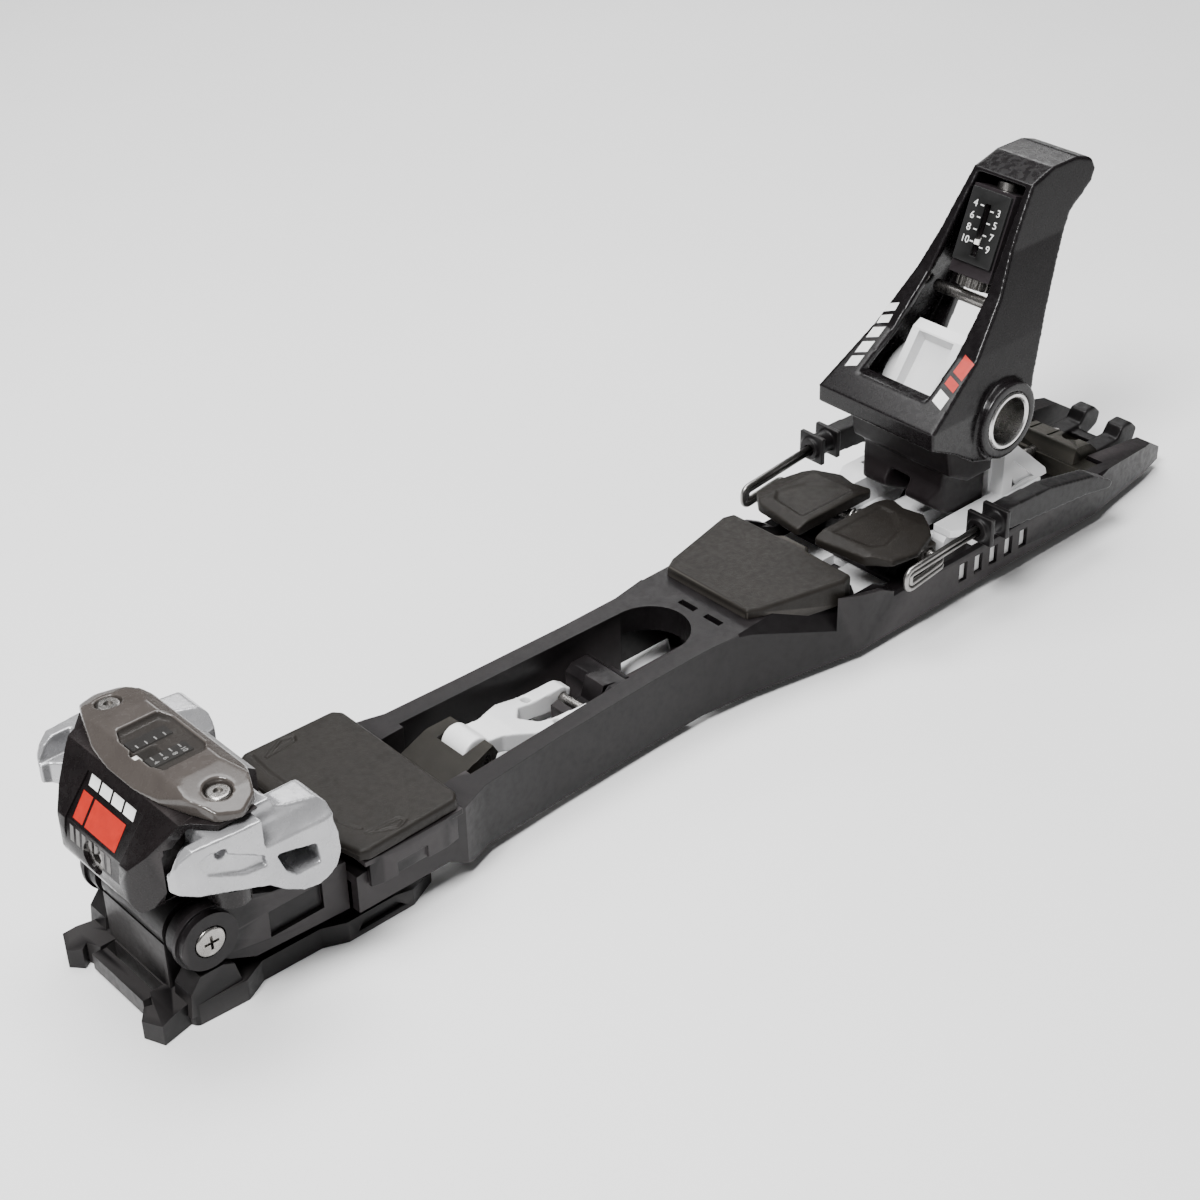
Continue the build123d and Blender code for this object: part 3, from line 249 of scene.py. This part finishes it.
MATERIALS = {
    "base_plastic": moulded(
        "base_black", dark=(0.0045, 0.0040, 0.0043), light=(0.0075, 0.0066, 0.0070),
        worn=(0.030, 0.028, 0.028), rough=0.36, grain=0.20),
    "frame_plastic": moulded(
        "frame_black", dark=(0.0048, 0.0040, 0.0044), light=(0.0080, 0.0066, 0.0072),
        worn=(0.032, 0.028, 0.029), rough=0.38, grain=0.16),
    "housing_plastic": moulded(
        "housing_gloss", dark=(0.0045, 0.0036, 0.0038), light=(0.0085, 0.0066, 0.0070),
        worn=(0.028, 0.024, 0.024), rough=0.26, grain=0.06, coat=0.12),
    "cover_plastic": moulded(
        "cover_taupe", dark=(0.050, 0.043, 0.039), light=(0.062, 0.054, 0.049),
        worn=(0.12, 0.11, 0.10), rough=0.24, grain=0.06, coat=0.5),
    "pad_plastic": moulded(
        "pad_olive", dark=(0.0108, 0.0092, 0.0078), light=(0.0146, 0.0125, 0.0106),
        worn=(0.040, 0.036, 0.032), rough=0.48, grain=0.40),
    "wing_cast": cast(
        "wing_silver", base=(0.44, 0.44, 0.45), shade=(0.35, 0.35, 0.36), rough=0.24, metal=0.55),
    "white_cast": cast(
        "carriage_white", base=(0.84, 0.84, 0.84), shade=(0.74, 0.74, 0.75), rough=0.34, metal=0.0),
    "rack_plastic": cast(
        "rack_white", base=(0.80, 0.80, 0.79), shade=(0.66, 0.66, 0.66), rough=0.42, metal=0.0),
    "steel": bare_metal(
        "steel_drawn", base=(0.40, 0.385, 0.37), shade=(0.22, 0.21, 0.20), rough=0.26, stretch=(1, 14, 1)),
    "tube_steel": bare_metal(
        "tube_turned", base=(0.74, 0.73, 0.72), shade=(0.52, 0.51, 0.50), rough=0.24, stretch=(12, 1, 12)),
    "spring_steel": bare_metal(
        "steel_spring", base=(0.34, 0.33, 0.32), shade=(0.18, 0.175, 0.17), rough=0.32, stretch=(6, 6, 6)),
    "window": clear_smoke(
        "window_smoke", base=(0.045, 0.042, 0.039), shade=(0.030, 0.028, 0.026), alpha=0.28),
    "scale": moulded(
        "scale_black", dark=(0.006, 0.006, 0.006), light=(0.010, 0.010, 0.010),
        worn=(0.03, 0.03, 0.03), rough=0.35, grain=0.1),
    "indicator": cast(
        "pointer_white", base=(0.85, 0.84, 0.80), shade=(0.72, 0.71, 0.68), rough=0.4, metal=0.0),
    "shell_plastic": moulded(
        "shell_gloss", dark=(0.0042, 0.0035, 0.0039), light=(0.0072, 0.0060, 0.0066),
        worn=(0.028, 0.024, 0.026), rough=0.26, grain=0.05, coat=0.12),
    "treadle_plastic": moulded(
        "treadle_plum", dark=(0.0098, 0.0074, 0.0082), light=(0.0138, 0.0108, 0.0118),
        worn=(0.034, 0.029, 0.032), rough=0.40, grain=0.28),
    "lever_plastic": moulded(
        "lever_olive", dark=(0.0105, 0.0092, 0.0072), light=(0.0150, 0.0132, 0.0106),
        worn=(0.040, 0.036, 0.030), rough=0.36, grain=0.22, coat=0.1),
    "bush_plastic": moulded(
        "bush_grey", dark=(0.05, 0.05, 0.05), light=(0.07, 0.07, 0.07),
        worn=(0.12, 0.12, 0.12), rough=0.45, grain=0.2),
    "tail_plastic": moulded(
        "tail_olive", dark=(0.010, 0.0094, 0.0076), light=(0.020, 0.0188, 0.0150),
        worn=(0.060, 0.056, 0.048), rough=0.44, grain=0.5),
}
INKS = {
    "white": printed("ink_white", ink=(0.84, 0.84, 0.83), faded=(0.70, 0.70, 0.69), rough=0.35),
    "red": printed("ink_red", ink=(0.46, 0.016, 0.006), faded=(0.37, 0.012, 0.005), rough=0.42),
    "grey": printed("ink_grey", ink=(0.13, 0.125, 0.12), faded=(0.09, 0.086, 0.083), rough=0.4),
}

for node_name, cad_piece in NODES.items():
    paint(cad_piece, MATERIALS[SLOT_OF[node_name]])

# ---------------------------------------------------------------- softened and flowing copies of CAD nodes
WELD = 0.00002                  # points this near each other are joined, in metres
FLAT_ANGLE = math.radians(1.5)  # facets that turn less than this are joined
BEVEL_ANGLE = math.radians(24)  # edges that turn more than this are rounded
SHARP_ANGLE = math.radians(30)  # edges that turn more than this are shaded as sharp


def copied(node, suffix, join_facets):
    """A new object with a CAD node's mesh, its doubled points joined."""
    copy = placed(node + suffix, NODES[node].data.copy())
    mesh = bmesh.new()
    mesh.from_mesh(copy.data)
    bmesh.ops.remove_doubles(mesh, verts=mesh.verts, dist=WELD)
    if join_facets:
        bmesh.ops.dissolve_limit(mesh, angle_limit=FLAT_ANGLE, verts=mesh.verts, edges=mesh.edges)
    mesh.to_mesh(copy.data)
    mesh.free()
    return copy


def stand_for(piece, node):
    """Puts a piece in a CAD node's place, painted in the material of the node's slot and riding on its body.
    """
    paint(piece, MATERIALS[SLOT_OF[node]])
    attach(piece, BODY_OF[node])
    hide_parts(node)
    return piece


def softened(node, radius):
    """A copy of a CAD node with its edges rounded, standing for it."""
    copy = copied(node, "_soft", join_facets=True)
    set_all(
        copy.modifiers.new("rounded", "BEVEL"), width=radius * MM, segments=3, limit_method="ANGLE",
        angle_limit=BEVEL_ANGLE, use_clamp_overlap=True, harden_normals=True)
    shade_smooth(copy.data)
    copy.data.set_sharp_from_angle(angle=SHARP_ANGLE)
    return stand_for(copy, node)


def melted(node, voxel, passes, shape=None):
    """A copy of a CAD node flowed into one smooth moulding; shape, where given, then moves its points."""
    copy = copied(node, "_form", join_facets=False)
    set_all(copy.modifiers.new("voxels", "REMESH"), mode="VOXEL", voxel_size=voxel * MM)
    set_all(copy.modifiers.new("flow", "SMOOTH"), factor=0.5, iterations=passes)
    flowed = worked_out(copy)
    copy.modifiers.clear()
    copy.data = flowed
    if shape:
        for vertex in copy.data.vertices:
            vertex.co = shape(vertex.co / MM) * MM
    shade_smooth(copy.data)
    return stand_for(copy, node)


# Gliding pad: grooves as lines of (x, y), and a lip along its front edge
PAD_GROOVES = [
    [(21, 31), (20, 20), (20.5, -16), (24, -24)],
    [(24, -27), (33, -31.5), (37, -30), (36, -28), (24, -27)],
    [(24, 27), (33, 31.5), (37, 30), (36, 28), (24, 27)],
]
GROOVE_WIDTH = 0.75             # from a groove's middle to its edge
GROOVE_DEPTH = 0.45
PAD_TOP = 34.5                  # points above this belong to the pad's top
LIP_END = 20.5                  # x where the lip begins to turn down
LIP_REACH = 6.0
LIP_DROP = 1.3


def near_line(x, y, line):
    """Distance of a point of the plan from a line of points."""
    best = math.inf
    spot = Vector((x, y))
    for start, end in zip(line, line[1:]):
        first, run = Vector(start), Vector(end) - Vector(start)
        along = min(1, max(0, (spot - first).dot(run) / run.length_squared))
        best = min(best, (spot - first - run * along).length)
    return best


def glide_shape(spot):
    """Grooves the gliding pad's top, and turns its front edge down in a soft lip."""
    if spot.z > PAD_TOP:
        gap = min(near_line(spot.x, spot.y, line) for line in PAD_GROOVES)
        if gap < GROOVE_WIDTH:
            spot.z -= GROOVE_DEPTH * (1 - (gap / GROOVE_WIDTH) ** 2)
        front = LIP_END - spot.x
        if front > 0:
            spot.z -= LIP_DROP * (front / LIP_REACH) ** 2
    return spot


# Edge radius in millimetres of each piece that keeps its CAD faces
ROUNDED = {
    "toe_base": 0.8, "toe_carrier": 0.8, "main_frame": 0.8, "pad_carrier": 0.5, "latch_slider": 0.7,
    "brake_bracket": 0.6, "rear_base": 0.6, "adjuster_block": 0.5, "spring_housing": 0.5,
    "scale_plate": 0.3, "toe_housing": 1.1, "heel_pad": 0.9, "heel_carriage": 0.5, "cam_bracket": 0.9,
    "mode_lever": 0.7,
}
FORMS = {node: softened(node, edge_radius) for node, edge_radius in ROUNDED.items()}

# Voxel size in millimetres and smoothing passes of each flowing piece
FLOWING = {
    "toe_cover": (0.4, 16), "wing_far": (0.4, 16), "wing_near": (0.4, 16), "mode_fork": (0.4, 9),
    "brake_pedal_far": (0.45, 12), "brake_pedal_near": (0.45, 12), "heel_shell": (0.5, 14),
    "treadle": (0.5, 26), "climbing_aid": (0.5, 12), "brake_feet": (0.5, 6),
}
for node_name, settings in FLOWING.items():
    FORMS[node_name] = melted(node_name, *settings)
FORMS["gliding_pad"] = melted("gliding_pad", voxel=0.4, passes=6, shape=glide_shape)
FORMS["toe_scale"] = NODES["toe_scale"]

# ---------------------------------------------------------------- printed marks, sizes in millimetres
PRINT_RISE = 0.10               # a patch's face stands this far out of the surface
PRINT_SINK = 0.25               # a patch's back lies this far under the surface
PRINT_STEPS = 10                # cells along each side of a patch
PRINT_REACH = 8.0               # a surface is looked for this far before and behind a patch
SCALE_RISE = 0.06               # numbers and the heel's ticks stand this far out of their scale
TICK_SINK = 0.12                # the heel's ticks go this far into their scale
BOX_FACES = [(3, 2, 1, 0), (4, 5, 6, 7), (0, 1, 5, 4), (1, 2, 6, 5), (2, 3, 7, 6), (3, 0, 4, 7)]
SURFACES = {}


def inked(name, data, ink, body):
    """Puts a print in the scene, in its ink and riding on its body."""
    data.materials.clear()
    data.materials.append(INKS[ink])
    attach(placed(name, data), body)


def mark(name, target, corners, towards, ink):
    """A thin patch of print: four corners thrown on to a form and given a little thickness."""
    if target not in SURFACES:
        SURFACES[target] = BVHTree.FromObject(FORMS[target], bpy.context.evaluated_depsgraph_get())
    way = Vector(towards).normalized()
    foot_start, foot_end, head_end, head_start = [Vector(corner) * MM for corner in corners]
    hits = []
    for i in range(PRINT_STEPS + 1):
        foot = foot_start.lerp(foot_end, i / PRINT_STEPS)
        head = head_start.lerp(head_end, i / PRINT_STEPS)
        row = []
        for j in range(PRINT_STEPS + 1):
            spot = foot.lerp(head, j / PRINT_STEPS)
            hit = SURFACES[target].ray_cast(spot - way * PRINT_REACH * MM, way, 2 * PRINT_REACH * MM)[0]
            row.append(spot if hit is None else hit)
        hits.append(row)
    mesh = bmesh.new()
    tops = [[mesh.verts.new(hit - way * PRINT_RISE * MM) for hit in row] for row in hits]
    lows = [[mesh.verts.new(hit + way * PRINT_SINK * MM) for hit in row] for row in hits]
    for i in range(PRINT_STEPS):
        for j in range(PRINT_STEPS):
            mesh.faces.new((tops[i][j], tops[i + 1][j], tops[i + 1][j + 1], tops[i][j + 1]))
            mesh.faces.new((lows[i][j], lows[i][j + 1], lows[i + 1][j + 1], lows[i + 1][j]))
        for side in (0, PRINT_STEPS):
            mesh.faces.new((tops[i][side], lows[i][side], lows[i + 1][side], tops[i + 1][side]))
            mesh.faces.new((tops[side][i], lows[side][i], lows[side][i + 1], tops[side][i + 1]))
    inked(name, closed(name, mesh), ink, BODY_OF[target])


def number(name, text, size, place, right, up, body):
    """A printed scale number, centred on a place."""
    curve = set_all(
        bpy.data.curves.new(name, "FONT"), body=text, size=size * MM, extrude=SCALE_RISE * MM,
        align_x="CENTER", align_y="CENTER")
    source = placed(name + "_source", curve)
    data = worked_out(source)
    bpy.data.objects.remove(source)
    right, up = Vector(right).normalized(), Vector(up).normalized()
    turned = Matrix((right, up, right.cross(up))).transposed().to_4x4()
    data.transform(Matrix.Translation(Vector(place) * MM) @ turned)
    inked(name, data, "white", body)


# Shield of the toe: each row's foot and head, as (x, z), and its blocks, as (far y, near y)
SHIELD_ROWS = {
    "white": ((-46.1, 70.2), (-43.8, 73.0), [(12.5, 7.6), (6.6, 1.2), (0.2, -5.2), (-6.2, -11.6)]),
    "red": ((-52.9, 61.7), (-47.4, 68.6), [(12.6, 7.4), (6.2, -10.4)]),
    "grey": ((-54.8, 54.4), (-53.8, 59.4), [(12.4 - 3.4 * index, 10.4 - 3.4 * index) for index in range(7)]),
}
SHIELD_SLANT = 0.9              # a block's head is this much further to the far side than its foot
SHIELD_WAY = (0.8, 0, -0.6)     # the blocks are thrown on to the shield this way
for ink_name, (foot, head, blocks) in SHIELD_ROWS.items():
    for index, (far, near) in enumerate(blocks):
        patch = [
            (foot[0], far, foot[1]), (foot[0], near, foot[1]),
            (head[0], near + SHIELD_SLANT, head[1]), (head[0], far + SHIELD_SLANT, head[1]),
        ]
        mark(f"shield_{ink_name}_{index}", "toe_housing", patch, SHIELD_WAY, ink_name)

# Flanges of the heel shell: slanted bars along the far one, and a bar and two blocks on the near one
FLANGE_FOOT = Vector((295.0, 82.5))     # lower end of the flanges' front face, as (x, z)
FLANGE_RUN = Vector((341.0, 133.0)) - FLANGE_FOOT
FLANGE_WAY = (0.74, 0, -0.67)   # the marks are thrown on to the flanges this way
FLANGE_SLANT = 0.03             # a bar's outer side is lower by this fraction of the run


def flange_patch(start, end, inner, outer):
    """Corners of a patch on a flange, from fractions of its run and two values of Y."""
    low, high = FLANGE_FOOT + FLANGE_RUN * start, FLANGE_FOOT + FLANGE_RUN * end
    lean = FLANGE_RUN * FLANGE_SLANT
    return [
        (low.x, inner, low.y), (high.x, inner, high.y),
        (high.x - lean.x, outer, high.y - lean.y), (low.x - lean.x, outer, low.y - lean.y),
    ]


# Inner and outer side of each flange's marks, and each mark's colour and two ends
FLANGE_MARKS = {
    "far": (19.0, 23.6, [
        ("white", 0.03, 0.10), ("white", 0.125, 0.20), ("white", 0.23, 0.30), ("white", 0.33, 0.38),
        ("white", 0.405, 0.455)]),
    "near": (-18.8, -24.4, [("white", 0.02, 0.10), ("red", 0.135, 0.19), ("red", 0.215, 0.33)]),
}
for side_name, (inner, outer, bars) in FLANGE_MARKS.items():
    for index, (ink_name, start, end) in enumerate(bars):
        patch = flange_patch(start, end, inner, outer)
        mark(f"flange_{side_name}_{index}", "heel_shell", patch, FLANGE_WAY, ink_name)

# Scale of the heel: numbers and ticks either side of the slot
SPRING_UP = Vector((math.cos(SPRING_LEAN), 0, math.sin(SPRING_LEAN)))
SPRING_BACK = Vector((math.sin(SPRING_LEAN), 0, -math.cos(SPRING_LEAN)))
SCALE_FACE = 9.66               # the scale plate's front is this far before the spring's axis
HEEL_PITCH = 4.6                # from one number of a column to the next
HEEL_NUMBER_SIZE = 3.9
HEEL_NUMBER_Y = 5.6
HEEL_TICK_Y = 2.5
HEEL_TICK_ACROSS = 0.8          # half a tick's width
HEEL_TICK_ALONG = 0.22          # half a tick's height


def on_scale(distance, y):
    """A point of the scale plate's front, this far up the spring's axis."""
    return Vector((HEEL_AXLE[0], y, HEEL_AXLE[1])) + SPRING_UP * distance - SPRING_BACK * SCALE_FACE


def heel_tick(name, centre):
    """A printed tick on the heel's scale."""
    across, along = Vector((0, HEEL_TICK_ACROSS, 0)), SPRING_UP * HEEL_TICK_ALONG
    ring = [
        centre - across - along, centre + across - along,
        centre + across + along, centre - across + along,
    ]
    mesh = bmesh.new()
    box = [
        mesh.verts.new((corner + SPRING_BACK * depth) * MM)
        for depth in (TICK_SINK, -SCALE_RISE) for corner in ring
    ]
    for face in BOX_FACES:
        mesh.faces.new([box[place] for place in face])
    inked(name, closed(name, mesh), "white", "heel_unit")


# Side of the slot, distance of the first number up the spring's axis, and the numbers from there down
HEEL_SCALE = [(1, 73.0, ["4", "6", "8", "10"]), (-1, 71.8, ["3", "5", "7", "9"])]
for side, first, texts in HEEL_SCALE:
    for index, text in enumerate(texts):
        distance = first - HEEL_PITCH * index
        number(
            f"heel_number_{text}", text, HEEL_NUMBER_SIZE, on_scale(distance, side * HEEL_NUMBER_Y),
            right=(0, -1, 0), up=SPRING_UP, body="heel_unit")
        heel_tick(f"heel_tick_{text}", on_scale(distance, side * HEEL_TICK_Y))

# Scale of the toe: ticks and numbers under the window, on the strips beside the slot
STRIP_TOP = 82.06               # height of the strips' printed face
TOE_FIRST = -32.9               # x of the first number
TOE_PITCH = 3.2                 # from one number to the next
TOE_NUMBER_SIZE = 2.4
TOE_NUMBER_Y = -6.5
TOE_TICK_HALF = 0.2             # half a tick's width
TOE_TICK_INNER = 3.2            # a tick's two ends, from the middle
TOE_TICK_OUTER = 4.9
for index, text in enumerate(["4", "6", "8", "10"]):
    x = TOE_FIRST + TOE_PITCH * index
    start, end = x - TOE_TICK_HALF, x + TOE_TICK_HALF
    for side_name, side in (("near", -1), ("far", 1)):
        inner, outer = side * TOE_TICK_INNER, side * TOE_TICK_OUTER
        patch = [
            (start, inner, STRIP_TOP), (end, inner, STRIP_TOP),
            (end, outer, STRIP_TOP), (start, outer, STRIP_TOP),
        ]
        mark(f"toe_tick_{text}_{side_name}", "toe_scale", patch, towards=(0, 0, -1), ink="white")
    number(
        f"toe_number_{text}", text, TOE_NUMBER_SIZE, (x, TOE_NUMBER_Y, STRIP_TOP),
        right=(0, -1, 0), up=(1, 0, 0), body="frame")

# ---------------------------------------------------------------- brake wires, in millimetres
STRAND = 1.08                   # radius of one strand
STRAND_GAP = 1.1                # half the distance between two strands
WIRE_SEGMENTS = 12              # sides of a strand's section
BEND_STEPS = 7                  # stretches of a rounded bend
SIDE_LEAST = 0.2                # shorter than this, a strand's side can't be told from the Y axis
# Corners of an arm's wire from the shaft to the foot, as (x, distance from the middle, z)
ARM_CORNERS = [
    (BRAKE_SHAFT[0], 37.6, BRAKE_SHAFT[1]), (BRAKE_SHAFT[0], 42, BRAKE_SHAFT[1]),
    (261, 42, 27.3), (261, 42, 33.6), (306, 43, 37.5),
]
ARM_BENDS = [3, 2.5, 2.5]       # radius of each bend


def rounded_route(corners, radii):
    """A line of points through corners, each corner rounded by its radius."""
    points = [corners[0]]
    for before, corner, after, radius in zip(corners, corners[1:], corners[2:], radii):
        back, ahead = (before - corner).normalized(), (after - corner).normalized()
        reach = radius / math.tan(back.angle(ahead) / 2)
        start, end = corner + back * reach, corner + ahead * reach
        for step in range(BEND_STEPS + 1):
            t = step / BEND_STEPS
            points.append(start * (1 - t) ** 2 + corner * 2 * t * (1 - t) + end * t ** 2)
    points.append(corners[-1])
    return points


def strand(mesh, route, offset):
    """Adds a round wire along a route, moved sideways in its local frame."""
    rings = []
    turns = [math.tau * k / WIRE_SEGMENTS for k in range(WIRE_SEGMENTS)]
    for index, point in enumerate(route):
        way = (route[min(index + 1, len(route) - 1)] - route[max(index - 1, 0)]).normalized()
        side = way.cross(Vector((0, 1, 0)))
        if side.length < SIDE_LEAST:
            side = Vector((1, 0, 0))
        side = (side - way * side.dot(way)).normalized()
        other = way.cross(side)
        centre = point + side * offset
        rings.append([
            mesh.verts.new((centre + side * STRAND * math.cos(turn) + other * STRAND * math.sin(turn)) * MM)
            for turn in turns
        ])
    for first, second in zip(rings, rings[1:]):
        for k in range(WIRE_SEGMENTS):
            following = (k + 1) % WIRE_SEGMENTS
            mesh.faces.new((first[k], first[following], second[following], second[k]))
    mesh.faces.new(rings[0][::-1])
    mesh.faces.new(rings[-1])


def brake_wires():
    """Both brake arms, each a bent double strand in the place of the CAD's single wire."""
    mesh = bmesh.new()
    for side in (-1, 1):
        corners = [Vector((x, side * y, z)) for x, y, z in ARM_CORNERS]
        route = rounded_route(corners, ARM_BENDS)
        for offset in (-STRAND_GAP, STRAND_GAP):
            strand(mesh, route, offset)
    data = closed("brake_strands", mesh)
    shade_smooth(data)
    piece = stand_for(placed("brake_strands", data), "brake_arms")
    paint(piece, MATERIALS["spring_steel"])


brake_wires()

# ---------------------------------------------------------------- studio and camera, in metres
FLOOR_HALF = 6.0                # half the floor's side
FLOOR_GAP = 0.0002              # between the floor and the lowest piece
WORLD_STRENGTH = 0.10
LIT_POINT = (0.19, 0, 0.05)     # every light faces this point
# Place, two sides and power in watts of each light
LIGHTS = {
    "key": ((-0.55, -0.25, 1.25), (0.42, 0.42), 33),
    "top": ((0.35, 0.35, 1.35), (1.1, 0.7), 24),
    "rim": ((1.05, 0.95, 0.80), (0.9, 0.25), 5),
    "side": ((0.55, -1.25, 0.55), (1.2, 0.25), 1.4),
    "front": ((-1.25, 0.2, 0.60), (0.4, 0.5), 1.0),
}
CAMERA_PLACE = (-0.28341, -0.48537, 0.47871)
CAMERA_HEIGHT = math.radians(33.207)    # how far it looks down
CAMERA_TURN = math.radians(-41.569)     # how far it is round from the near side, towards the toe
CAMERA_LEAN = math.radians(-1.230)      # how far it leans about its line of sight
CAMERA_LENS = 67.507                    # in millimetres, on a sensor 36 mm wide


def area_light(name, place, sides, power):
    light = set_all(
        bpy.data.lights.new(name, "AREA"), shape="RECTANGLE", size=sides[0], size_y=sides[1], energy=power)
    facing = (Vector(LIT_POINT) - Vector(place)).to_track_quat("-Z", "Y")
    set_all(placed(name, light), location=place, rotation_mode="QUATERNION", rotation_quaternion=facing)


def floor():
    """A wide pale floor just under the binding."""
    corners = [(x * FLOOR_HALF, y * FLOOR_HALF, 0) for x, y in ((-1, -1), (1, -1), (1, 1), (-1, 1))]
    data = bpy.data.meshes.new("floor")
    data.from_pydata(corners, [], [(0, 1, 2, 3)])
    look = Surface("floor_paper")
    look.colour(look.clouds((0.86, 0.86, 0.86), (0.90, 0.90, 0.90), scale=3, detail=2))
    look.roughness(look.spread(look.noise(scale=30, detail=2), low=0.7, high=0.8))
    data.materials.append(look.material)
    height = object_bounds()[0].z - FLOOR_GAP
    piece = placed("floor", data)
    piece.location.z = height
    piece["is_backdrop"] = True


def studio():
    """The floor, five area lights and a faint white world."""
    floor()
    for name, (place, sides, power) in LIGHTS.items():
        area_light(name, place, sides, power)
    world = bpy.data.worlds.new("studio")
    world.use_nodes = True
    fill(world.node_tree.nodes["Background"], {"Color": (1, 1, 1, 1), "Strength": WORLD_STRENGTH})
    bpy.context.scene.world = world


def camera():
    """A long lens above the toe's near side, leaning a little to one side."""
    back = Vector((
        math.sin(CAMERA_TURN) * math.cos(CAMERA_HEIGHT),
        -math.cos(CAMERA_TURN) * math.cos(CAMERA_HEIGHT),
        math.sin(CAMERA_HEIGHT),
    ))
    right = (-back).cross(Vector((0, 0, 1))).normalized()
    up = right.cross(-back)
    leant_right = right * math.cos(CAMERA_LEAN) + up * math.sin(CAMERA_LEAN)
    leant_up = up * math.cos(CAMERA_LEAN) - right * math.sin(CAMERA_LEAN)
    turned = Matrix((leant_right, leant_up, back)).transposed().to_4x4()
    obj = placed("camera", set_all(bpy.data.cameras.new("camera"), lens=CAMERA_LENS, sensor_width=36.0))
    obj.matrix_world = Matrix.Translation(CAMERA_PLACE) @ turned
    bpy.context.scene.camera = obj


studio()
camera()
